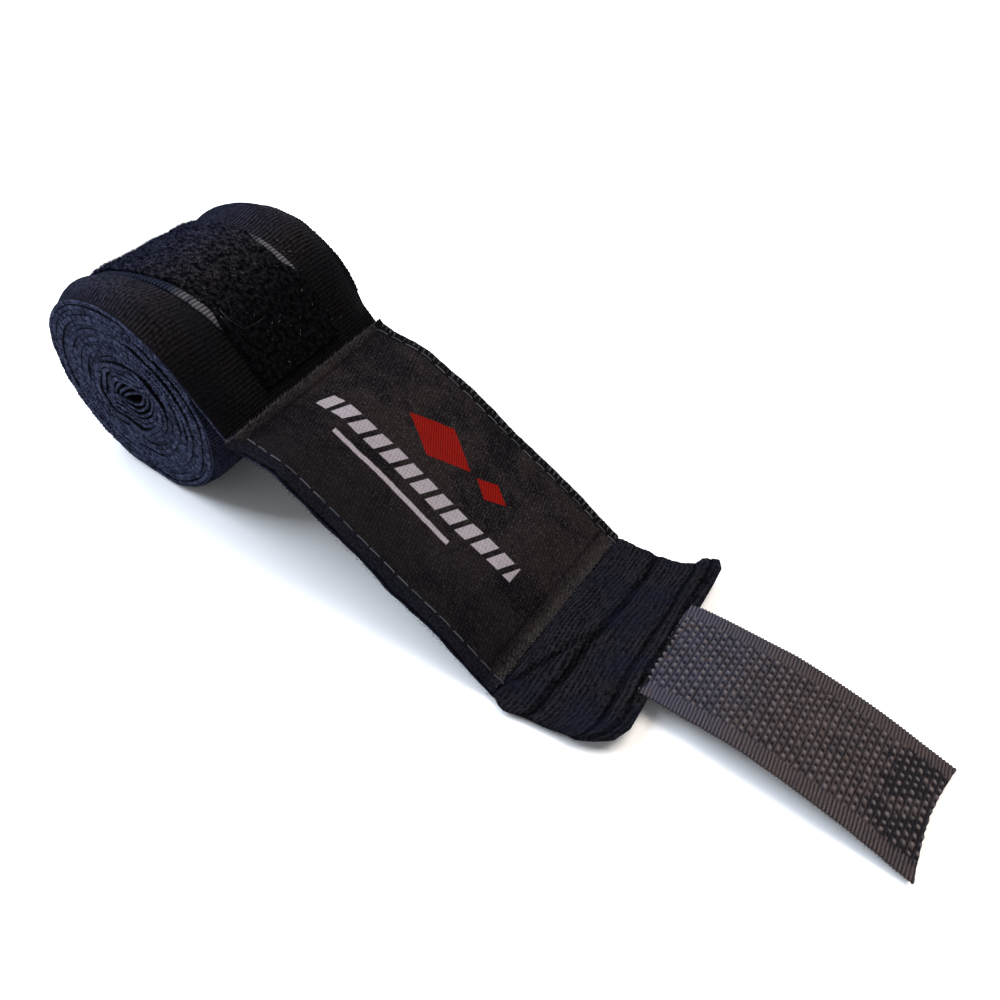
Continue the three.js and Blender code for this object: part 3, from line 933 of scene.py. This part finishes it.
def core_turns(side):
    """The band's first turns, flattened at one mouth of the core, and their length."""
    first, last = (CREASE_ANGLE + turn * 2 * math.pi for turn in (TURNS, LAST_TURN))
    angle = np.arange(first, last, math.radians(3))
    run = run_along(*spiral(angle)[:2])[::-1, None]
    angle = angle[::-1, None]
    x, z, nx, nz = spiral(angle)
    turn, around = turn_of(angle), np.mod(angle, 2 * math.pi)
    own = np.linspace(CORE_LOW, CORE_HIGH, 42)[None, :]
    y = own * (1 + (0.5 * cloudy(angle * 1.1, side * 2.0, 121, 2) - 0.02 * (turn - TURNS)) * 0.04)
    sag = -0.55 - 1.1 * bump(around, 4.3, 0.8) - 0.6 * ease(turn, TURNS, LAST_TURN)
    sag = sag + 0.35 * cloudy(around * 1.6, y / 6 + turn, 122, 2)
    half = (0.48 + 0.05 * ripple(run, RIB)) * rounding(own, CORE_HIGH) + 0.02
    faces = []
    for height in (sag + half, sag - half):
        faces.append(stacked(x + nx * height, side * y, z + nz * height)[:, ::side])
    uv = stacked(WOUND_FROM + run, side * (own + 0.4))[:, ::side]
    return slab("core_turns_" + SIDES[side], *faces, uv, "band"), float(run[0, 0])


def band_sheet(name, low, high, step_s, step_y, relief):
    """A stretch of the outer band between two distances from the crease."""
    s = steps(low, high, step_s)[:, None]
    y = across_steps(HALF_BAND, step_y)[None, :]
    uneven = 0.35 * np.sign(y) * cloudy(s / 6, np.sign(y) * 3, 76, 2) * bump(np.abs(y), 25, 4)
    strip_y = y + middle_of(s) * ease(s, 0, 20) + uneven
    half = BAND / 2 * rounding(y, HALF_BAND)
    puff = relief(s, y)
    top = BAND / 2 + half + puff
    bottom = BAND / 2 - half + np.where(np.abs(y) > 10, 0.85, 0.6) * np.minimum(puff, 0)
    bottom = np.minimum(np.maximum(bottom, -1.3), top - 0.12)
    return slab(name, at(s, strip_y, top), at(s, strip_y, bottom), stacked(s, y), "band")


wound, wound_length, coil = wound_band()
set_on(wound, "roll", "band_weave", "band_roll")
core_pieces = [core_turns(side) for side in SIDES]
for piece, length in core_pieces:
    set_on(piece, "roll", "band_weave")
outer = band_sheet("outer_turn", OUTER_START, OUTER_END, 0.27, 0.85, band_relief)
set_on(outer, "roll", "band_weave")
crease_band = band_sheet("crease_band", OUTER_END, LINKS["crease"][1], 0.27, 0.85, band_relief)
set_on(crease_band, "crease", "band_weave", "band_tail_1")


# ------------ the loop patch
def patch_edges(s):
    places = [14, 40, 70, 100, 130, 166]
    near = np.interp(degrees(s), places, [-10.6, -10.8, -13.0, -15.4, -15.8, -15.6])
    return near, np.interp(degrees(s), places, [13.4, 13.2, 12.4, 11.4, 11.0, 11.0])


def pile_edges(s):
    """The brushed pile leaves the tape's selvedges bare over the top and covers them lower down."""
    angle = degrees(s)
    near, far = patch_edges(s)
    bare_near = ease(angle, 42, 56) * (1 - 0.5 * ease(angle, 72, 90))
    bare_far = ease(angle, 44, 56) * (1 - 0.8 * ease(angle, 70, 80))
    return near + 0.2 + 1.75 * bare_near, far - 0.2 - 1.75 * bare_far


def patch_sheet(name, edges, base, thickness, step_s, step_y, relief, material):
    """One layer of the patch, between two edges that change along it."""
    s = steps(PATCH_START, PATCH_END, step_s)[:, None]
    near, far = edges(s)
    share = (across_steps(1.0, step_y / 12.5, 0.05)[None, :] + 1) / 2
    y = near + (far - near) * share + 0.15 * cloudy(s / 1.3, share * 3, 81, 3)
    bottom = base + turn_lie(s, y)
    top = bottom + thickness * (0.35 + 0.65 * rounding(share * 2 - 1, 1.0, 0.05)) + relief(s, y)
    return slab(name, at(s, y, top), at(s, y, bottom), stacked(s, y), material)


def patch_fuzz():
    """Short curled fibres all over the pile, and longer fine hairs over the top of the roll."""
    count, hairs = 27000, 2200
    s = PATCH_START - 0.3 + (PATCH_END - PATCH_START + 0.3) * RNG.uniform(0, 1, count) ** 1.35
    s[:hairs] = RNG.uniform(PATCH_START, angle_to_run(math.radians(88)), hairs)
    near, far = pile_edges(s)
    y = near + (far - near) * RNG.uniform(0, 1, count)
    height = BAND + 1.4 + turn_lie(s, y) + pile_relief(s, y)
    length = RNG.uniform(0.3, 0.9, count)
    length[:hairs] = RNG.uniform(0.7, 1.45, hairs)
    # painted shade: fibres low on the roll get darker shades
    low = ease(degrees(s), 34, 66)
    tuft = ease(cloudy(s / 1.6, y / 1.6, 84, 2), -0.25, 0.45)
    light = RNG.uniform(0, 1, count) ** (3.8 - 2.9 * low)
    shade = np.clip(light * (0.15 + 0.85 * low) * (0.1 + 1.1 * tuft**1.4) + 0.02 * low, 0, 0.95)
    shade[:hairs] *= 0.8
    width = np.where(np.arange(count) < hairs, 0.032, 0.048)
    along = unit(strip_normal(s) + 1.2 * RNG.normal(size=(count, 3)))
    side = random_side(along)
    bow = unit(RNG.normal(size=(count, 3))) * 0.45
    return ribbons("pile_fibres", at(s, y, height), along, side, length, width, bow, shade, stacked(s, y))


def lint():
    """Loose light hairs and specks caught in the pile and on the outer turn."""
    count, hairs = 56, 6
    s = RNG.uniform(angle_to_run(math.radians(95)), angle_to_run(math.radians(16)), count)
    y = RNG.uniform(-12, 16, count)
    height = BAND + 1.9 + RNG.uniform(0, 0.3, count)
    length = RNG.uniform(0.25, 0.8, count)
    length[:hairs] = RNG.uniform(3, 6, hairs)
    normal = strip_normal(s)
    random = RNG.normal(size=(count, 3))
    along = unit(random - normal * (random * normal).sum(1, keepdims=True))
    side = unit(np.cross(along, normal))
    shade = RNG.uniform(0.45, 0.9, count)
    width = np.where(np.arange(count) < hairs, 0.028, 0.05)
    bow = unit(np.cross(normal, along)) * RNG.normal(0, 0.25, (count, 1)) - normal * 0.05
    return ribbons("lint", at(s, y, height), along, side, length, width, bow, shade, stacked(s, y), 6)


def patch_stitches(side):
    """Short dark stitches that hold one edge of the loop tape to the band."""
    t = np.linspace(0, 1, 4)[None, :]
    s = np.arange(PATCH_START + 1, PATCH_END - 1, 2.7)[:, None] + 1.9 * t
    near, far = patch_edges(s)
    y = near + 1.95 if side < 0 else far - 1.95
    height = BAND + 0.74 + turn_lie(s, y) + 0.16 * np.sin(math.pi * t)
    return tubes("loop_patch_thread_" + SIDES[side], at(s, y, height), 0.14, 0.02)


web = patch_sheet("loop_patch_tape", patch_edges, BAND + 0.12, 0.6, 0.2, 0.5, web_relief, "web")
set_on(web, "roll", "loop_web", "loop_patch_web")
pile = patch_sheet("loop_patch_brushed_pile", pile_edges, BAND + 0.72, 0.8, 0.3, 0.3, pile_relief, "pile")
set_on(pile, "roll", "loop_pile", "loop_patch_pile")
pile_fibres = set_on(patch_fuzz(), "roll", "loop_pile")
hairs = set_on(lint(), "roll", "loop_pile")
for side in SIDES:
    row = patch_stitches(side)
    set_on(row, "roll", "thread", "loop_patch_stitch_" + SIDES[side])


# ------------ fuzz on the wound selvedges
def face_fuzz(side, count):
    """Short fibres that stand out of the turns' selvedges on one end face."""
    pick = RNG.integers(0, len(coil[0]), count)
    angle, x, z, nx, nz, lift = (column[pick] for column in coil)
    offset = RNG.uniform(-0.42, 0.42, count) + lift
    edge = side * (HALF_BAND + noisy_edge(angle, side) - RNG.uniform(0.0, 0.35, count))
    base = stacked(x + nx * offset, edge, z + nz * offset)
    along = unit(np.array([0, side * 0.7, 0]) + RNG.normal(0, 0.6, (count, 3)))
    along[:, 1] = np.abs(along[:, 1]) * side
    across = random_side(along)
    bow = unit(RNG.normal(size=(count, 3))) * 0.4
    shade = RNG.uniform(0, 1, count) ** 1.6 * 0.62
    length = RNG.uniform(0.15, 0.6, count)
    return ribbons("selvedge_fuzz_" + SIDES[side], base, along, across, length, 0.04, bow, shade)


for side, count in ((-1, 18000), (1, 7000)):
    set_on(face_fuzz(side, count), "roll", "band_weave")


# ------------ the thumb loop in the core
def middle_of_node(name):
    """The middle of a CAD node's box, in mm."""
    low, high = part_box(name)
    return (low + high) / 2 / MM


def thumb_loop():
    """A webbing loop folded flat in three in the core, and its length."""
    centre = middle_of_node("thumb_loop")
    runs = []
    t = np.linspace(0, 1, 24)
    turn = np.linspace(-math.pi / 2, math.pi / 2, 10)[1:-1]
    for level, end in ((-2.5, 5.8), (0.0, -5.8), (2.5, 5.8)):
        runs.append(stacked(end * (2 * t - 1), level + 0.12 * np.sin(7 * t)))
        if level < 2.5:
            out = math.copysign(1.25, end)
            runs.append(stacked(end + out * np.cos(turn), level + 1.25 + 1.25 * np.sin(turn)))
    line = np.concatenate(runs)
    run = run_along(*line.T)
    along = np.gradient(line, axis=0)
    along /= np.linalg.norm(along, axis=1, keepdims=True)
    y = across_steps(LOOP_WIDTH / 2, 0.5, 0.3)[None, :]
    half = 0.95 * rounding(y, LOOP_WIDTH / 2, 0.3) + 0.06 * ripple(run, 0.9)[:, None]
    faces = []
    for height in (half, -half):
        x, z = tilted(line[:, :1] - along[:, 1:] * height, line[:, 1:] + along[:, :1] * height)
        faces.append(stacked(x + centre.x, y, z + centre.z))
    return slab("thumb_loop_webbing", *faces, stacked(run[:, None], y), "band"), float(run[-1])


def bartack():
    """The close stitches that sew the thumb loop to the band."""
    centre = middle_of_node("thumb_loop_bartack")
    y = np.linspace(-5.5, 5.5, 15)[:, None]
    t = np.linspace(-1, 1, 4)[None, :]
    lines = stacked(centre.x + 0.5 * t, y + 0.3 * t, centre.z - 0.1 * t**2)
    return tubes("thumb_loop_stitches", lines, 0.2, 0.4)


loop, loop_length = thumb_loop()
set_on(loop, "roll", "band_weave", "thumb_loop")
tack = set_on(bartack(), "roll", "thread", "thumb_loop_bartack")


# ------------ the drawn-out band and its label
def label_rim(s, side):
    """The label's edge, with its pointed near corner at the crease."""
    wave = 0.35 * cloudy(s / 7, side * 4.0, 91, 2) + 0.12 * cloudy(s / 1.1, side * 2.0, 92, 2)
    size, reach = (2.2, 4.0) if side < 0 else (0.6, 3.0)
    corner = size * np.exp(-np.maximum(s, 0) / reach)
    return side * (LABEL_HALF + wave + corner) + middle_of(s)


def across_label(s, share):
    """y at a share, 0 to 1, of the way from the label's near edge to its far one."""
    near, far = label_rim(s, -1), label_rim(s, 1)
    return near + (far - near) * share


def start_lift(s):
    """The label's start stands up a little from the crease."""
    return 0.55 * bump(s, LABEL_LOW, 1.6)


def label_sheet(link, low, high):
    s = steps(low, high, 0.4)[:, None]
    share = (across_steps(1.0, 0.4 / LABEL_HALF, 0.012)[None, :] + 1) / 2
    own = (share * 2 - 1) * LABEL_HALF
    ragged = 0.35 * cloudy(own / 1.2, 0.5, 93, 3)
    place = s + ragged * (np.maximum(LABEL_LOW + 1 - s, 0) + np.maximum(s - LABEL_HIGH + 1.5, 0) / 1.5)
    middle = 1.11 + label_relief(s, own) + start_lift(s)
    half = 0.25 * rounding(own, LABEL_HALF, 0.3)
    y = across_label(s, share)
    top, bottom = at(place, y, middle + half), at(place, y, middle - half)
    return slab("label_" + link, top, bottom, stacked(s, own), "label")


def dashes(low, high, side):
    """The running stitch along one edge of the label."""
    starts = np.arange(max(low, 2.5), min(high, LABEL_LENGTH - 2.5), 4.0)
    t = np.linspace(0, 1, 6)[None, :]
    length = 2.9 + RNG.uniform(-0.25, 0.25, len(starts))
    s = starts[:, None] + 0.4 + length[:, None] * t
    own = side * (21.8 if side < 0 else 22.5) + 0.15 * cloudy(s / 5, side * 3.0, 94, 2)
    return at(s, own + middle_of(s), 1.3 + label_relief(s, own) + 0.15 * np.sin(math.pi * t) ** 0.5)


def overlock(low, high):
    """Slanting overlock threads that wrap the label's far edge."""
    starts = np.arange(low, high, 0.68)
    starts = starts[(starts > 1.0) & (starts < 76.6)]
    t = np.linspace(0, 1, 5)[None, :]
    slant = np.where(np.arange(len(starts)) % 2 == 0, 0.6, -0.35)[:, None]
    s = starts[:, None] + slant * t + RNG.uniform(-0.06, 0.06, (len(starts), 1))
    inward = 0.12 + 1.5 * t
    height = 1.12 + label_relief(s, LABEL_HALF - inward) + 0.2 * np.sin(math.pi * (0.15 + 0.8 * t))
    return at(s, label_rim(s, 1) - inward, height)


def frayed_end(end, count, place, ahead, sideways, longest):
    """Short light threads along a cut end of the label."""
    own = RNG.uniform(-LABEL_HALF + 0.5, LABEL_HALF - 0.5, count)
    s = place + RNG.uniform(-0.35, 0.5, count)
    y = across_label(s, (own / LABEL_HALF + 1) / 2)
    height = 1.36 + label_relief(s, own) + start_lift(s)
    normal = strip_normal(s)
    along = unit(at(s + 0.5, y, height) - at(s, y, height)) * ahead + np.array([0, sideways, 0])
    along = along + normal * RNG.uniform(-0.2, 0.35, (count, 1))
    along = unit(along + RNG.normal(0, 0.35, (count, 3)))
    side = unit(np.cross(along, normal))
    bow = RNG.normal(0, 0.25, (count, 3))
    shade = RNG.uniform(0.3, 0.78, count)
    length = RNG.uniform(longest / 3, longest, count)
    name = "label_fray_" + end
    return ribbons(name, at(s, y, height), along, side, length, 0.045, bow, shade, stacked(s, own))


def edge_fuzz(link, low, high):
    """Blue-black fuzz of the band that shows beside the label."""
    count = int((high - low) * 20)
    s = RNG.uniform(low, high, count)
    side = np.where(RNG.uniform(size=count) < 0.7, -1, 1)
    y = side * (HALF_BAND + 0.25 + RNG.uniform(-0.5, 0.15, count)) + middle_of(s)
    height = RNG.uniform(0.2, 0.9, count)
    along = unit(stacked(0.0, side, 0.0) + RNG.normal(0, 0.5, (count, 3)))
    across = random_side(along)
    bow = RNG.normal(0, 0.3, (count, 3))
    shade = RNG.uniform(0.05, 0.5, count)
    length = RNG.uniform(0.15, 0.45, count)
    name = "band_edge_fuzz_" + link
    return ribbons(name, at(s, y, height), along, across, length, 0.035, bow, shade, stacked(s, y))


FRAYS = {
    "crease": ("start", 420, LABEL_LOW + 0.3, -1, 1.3, 0.9),
    "4": ("end", 300, LABEL_HIGH - 0.4, 1, 0.5, 0.45),
}
for number, link in enumerate(("crease", "1", "2", "3", "4"), 1):
    low, high = max(LINKS[link][0], LABEL_LOW), min(LINKS[link][1], LABEL_HIGH)
    label = label_sheet(link, low, high)
    set_on(label, link, "label_weave", f"label_panel_{number}")
    for side, side_name in SIDES.items():
        lines = dashes(low, high, side)
        shade = RNG.uniform(0.4, 0.8, len(lines))
        row = tubes(f"label_running_stitch_{side_name}_{link}", lines, 0.17, shade)
        set_on(row, link, "thread", f"label_stitch_{side_name}_{number}")
    lines = overlock(low, high)
    row = tubes("label_overlock_" + link, lines, 0.18, RNG.uniform(0.03, 0.6, len(lines)))
    set_on(row, link, "thread")
    if link != "crease":
        tail = band_sheet("tail_band_" + link, low, high, 0.35, 0.8, tail_relief)
        set_on(tail, link, "band_weave", f"band_tail_{number}")
    set_on(edge_fuzz(link, low, high), link, "band_weave")
    if link in FRAYS:
        fray = frayed_end(*FRAYS[link])
        set_on(fray, link, "label_weave", "label_stitch_" + FRAYS[link][0])


# ------------ the gathered end
def hem_point(u, v, height):
    """A point where u runs from under the label to the rolled edge and v runs -25 to 25 mm across."""
    far = np.interp(u, [0, 4, 12, 20, 24, 28], [22.9, 23.2, 23.4, 24.3, 25.6, 28.2])
    near = np.interp(u, [0, 3, 6, 11, 17, 23, 28], [-26.4, -27.0, -28.0, -27.0, -26.2, -25.4, -23.4])
    far = far + 0.25 * cloudy(u / 3, 7.5, 101, 2)
    near = near + 0.35 * cloudy(u / 3, 3.5, 102, 2)
    y = near + (far - near) * (v + HALF_BAND) / BAND_WIDTH
    across = [-25, -23.5, -20, -15, -8, 0, 10, 18, 23, 25]
    end = HEM_HIGH + np.interp(v, across, [-2.4, -0.4, 1.0, 0.8, 0.1, -0.3, -0.6, -0.9, -1.0, -2.4])
    s = HEM_LOW + (end - HEM_LOW) * (u / HEM_LENGTH)
    return at(s, y, height + 1.1 * ease(v, 17, 25) * ease(u, 20, 28))


def hem_sheet(name, low, high):
    u = steps(low, high, 0.25)[:, None]
    v = across_steps(HALF_BAND, 0.28, 0.9)[None, :]
    shape = rounding(v, HALF_BAND, 0.9)
    relief, tone = hem_relief(u, v)
    rise = ease(u, 0, 3.5)
    top = 0.55 + 1.35 * rise + relief * (0.35 + 0.65 * rise) * (0.3 + 0.7 * shape)
    bottom = 0.3 - (0.45 + 0.35 * ease(v, 10, 24)) * bump(u, 25.6, 1.8)
    bottom = bottom + 0.12 * cloudy(u / 3, v / 4, 103, 2)
    tip = np.sqrt(np.clip(1 - (np.maximum(u - 26.0, 0) / 2.15) ** 2, 0, 1))
    top, bottom = ((height - 0.5) * tip + 0.5 for height in (top, bottom))
    middle = (top + bottom) / 2
    half = np.maximum((top - bottom) / 2 * shape, 0.05)
    top, bottom = hem_point(u, v, middle + half), hem_point(u, v, middle - half)
    return slab(name, top, bottom, stacked(u + HEM_LOW, v), "knit", [tone, tone])


def hem_fuzz(name, low, high, count):
    """Fibres on the hem, some of them out of its two edges."""
    u = RNG.uniform(low, high, count)
    v = RNG.uniform(-HALF_BAND, HALF_BAND, count)
    edge = RNG.uniform(size=count) < 0.35
    v = np.where(edge, np.sign(v) * 24.9, v)
    base = hem_point(u, v, np.where(edge, 1.2, 1.9 + hem_relief(u, v)[0] * 0.95))
    along = strip_normal(HEM_LOW + u) * np.where(edge, 0.2, 0.6)[:, None]
    along = along + stacked(0.0, np.where(edge, np.sign(v), 0), 0.0)
    along = unit(along + RNG.normal(0, 1.0, (count, 3)))
    side = random_side(along)
    bow = RNG.normal(0, 0.3, (count, 3))
    shade = RNG.uniform(0, 1, count) ** 2 * 0.72
    length = RNG.uniform(0.15, 0.55, count)
    return ribbons(name, base, along, side, length, 0.03, bow, shade, stacked(u + HEM_LOW, v))


HEM_SPLIT = HEM_LENGTH * (LINKS["hem_flat"][1] - HEM_LOW) / (HEM_HIGH - HEM_LOW)
hem_start = hem_sheet("hem_gathered_start", HEM_START, HEM_SPLIT)
set_on(hem_start, "hem_flat", "end_knit", "band_end_flat")
hem_end = hem_sheet("hem_gathered_end", HEM_SPLIT, HEM_LENGTH)
set_on(hem_end, "hem_end", "end_knit", "band_end_gathered", "end_hem", "hem_stitch")
fuzz = set_on(hem_fuzz("hem_fuzz_flat", 3.0, HEM_SPLIT, 900), "hem_flat", "end_knit")
fuzz = set_on(hem_fuzz("hem_fuzz_end", HEM_SPLIT, HEM_LENGTH - 0.5, 2600), "hem_end", "end_knit")


# ------------ the hook tab
def tab_end_cut(own):
    """The slightly hollow, skewed cut across the tab's end."""
    share = own / TAB_HALF
    return TAB_CUT - 1.5 * (1 - share**2) + 0.35 * share + 0.1 * cloudy(own / 1.5, 2.5, 111, 2)


def tab_lie(s, own):
    """The tab's slow unevenness, with the edges of its end curled down."""
    curl = 0.5 * ease(np.abs(own), 6, TAB_HALF) * ease(s, 138, 157)
    return 0.15 * cloudy(s / 12, own / 9, 113, 2) - curl * 0.6


def tape_sheet(name, low, high):
    s = steps(low, high, 0.17)[:, None]
    own = across_steps(TAB_HALF, 0.17, 0.25)[None, :]
    place = s
    if high == LINKS["tab_end"][1]:
        place = low + (tab_end_cut(own) - low) * (s - low) / (high - low)
    side, edge = np.sign(own), np.abs(own)
    y = own + 0.12 * side * cloudy(s / 5, side * 2.0, 112, 2) * bump(edge, TAB_HALF, 3) + middle_of(place)
    y = y + 0.1 * side * ripple(place + 0.1 * own, TAB_RIB) * bump(edge, TAB_HALF, 0.4)
    relief, tone = tape_relief(place, own)
    shape = rounding(own, TAB_HALF, 0.25)
    middle = 1.4 + tab_lie(place, own)
    top = at(place, y, middle + 0.42 * shape + relief * (0.25 + 0.75 * shape))
    bottom = at(place, y, middle - 0.42 * shape)
    return slab(name, top, bottom, stacked(place, own), "tape", [tone, np.full(tone.shape, 0.6)])


def hook_rows(name, low, high):
    """The fine nylon hooks under the tape, each a short bent stem."""
    s, own = np.meshgrid(np.arange(low + 0.4, high, 0.95), np.arange(-9.6, 9.7, 0.85))
    s = s.ravel() + RNG.uniform(-0.15, 0.15, s.size)
    own = own.ravel() + RNG.uniform(-0.15, 0.15, own.size)
    keep = s < tab_end_cut(own) - 0.6
    s, own = s[keep, None], own[keep, None]
    lean = np.where(RNG.uniform(size=s.shape) < 0.5, -1, 1)
    bend = 0.62 * math.pi * np.linspace(0, 1, 5)[None, :]
    along = s + lean * 0.34 * (1 - np.cos(bend))
    height = 1.0 + tab_lie(s, own) - 0.78 * np.sin(bend)
    return tubes(name, at(along, own + middle_of(along), height), 0.085, 0.5, "hooks", 4)


for part in ("root", "fold", "middle", "end"):
    link = "tab_" + part
    low, high = LINKS[link][:2]
    tape = tape_sheet("hook_tape_" + part, low, high)
    set_on(tape, link, "hook_web", "hook_tab_web_" + part)
    hooks = hook_rows("hook_rows_" + part, max(low, HOOKS_FROM), high)
    set_on(hooks, link, "hook_field", "hook_tab_hooks_" + part)


# ------------ table, light and camera
def add_to_stage(name, data):
    made = bpy.data.objects.new(name, data)
    bpy.context.scene.collection.objects.link(made)
    return made


def add_floor(half, height):
    mesh = bpy.data.meshes.new("table")
    corners = [(-half, -half, 0), (half, -half, 0), (half, half, 0), (-half, half, 0)]
    mesh.from_pydata(corners, [], [(0, 1, 2, 3)])
    mesh.materials.append(Shader("table", 0.9, 0.1).finish((0.93, 0.93, 0.93)))
    floor = add_to_stage("table", mesh)
    floor.location.z = height


def add_light(name, place, target, size, power, colour):
    data = bpy.data.lights.new(name, "AREA")
    data.size = size
    data.energy = power
    data.color = colour
    light = add_to_stage(name, data)
    light.location = place
    light.rotation_euler = (Vector(target) - Vector(place)).to_track_quat("-Z", "Y").to_euler()


def add_world(colour, strength):
    world = bpy.data.worlds.new("studio")
    world.use_nodes = True
    background = world.node_tree.nodes["Background"]
    background.inputs["Color"].default_value = colour
    background.inputs["Strength"].default_value = strength
    bpy.context.scene.world = world


def add_camera(place, right, up, back, lens):
    """The photo's camera, from its place and the directions of its own three axes."""
    data = bpy.data.cameras.new("photo_view")
    data.lens = lens
    data.sensor_width = 36.0
    data.clip_start = 0.005
    camera = add_to_stage("photo_view", data)
    rows = [[*axes, shift] for *axes, shift in zip(right, up, back, place)]
    camera.matrix_world = Matrix([*rows, [0, 0, 0, 1]])
    bpy.context.scene.camera = camera


add_floor(3.0, -0.0002)
add_world((0.93, 0.96, 1.0, 1), 0.42)
add_light("cool_key", (-0.55, -0.1, 0.62), (-0.05, 0, 0.03), 0.6, 10, (0.8, 0.88, 1.0))
add_light("warm_top", (0.2, 0.25, 0.85), (0.03, 0, 0.0), 0.5, 8, (1.0, 0.92, 0.84))
add_camera(
    place=(0.07498, -0.08789, 0.14338),
    right=(0.81187, 0.58382, -0.00402),
    up=(-0.42891, 0.60109, 0.67434),
    back=(0.39611, -0.54575, 0.73841),
    lens=28.41,
)
bpy.context.scene.view_settings.view_transform = "Standard"
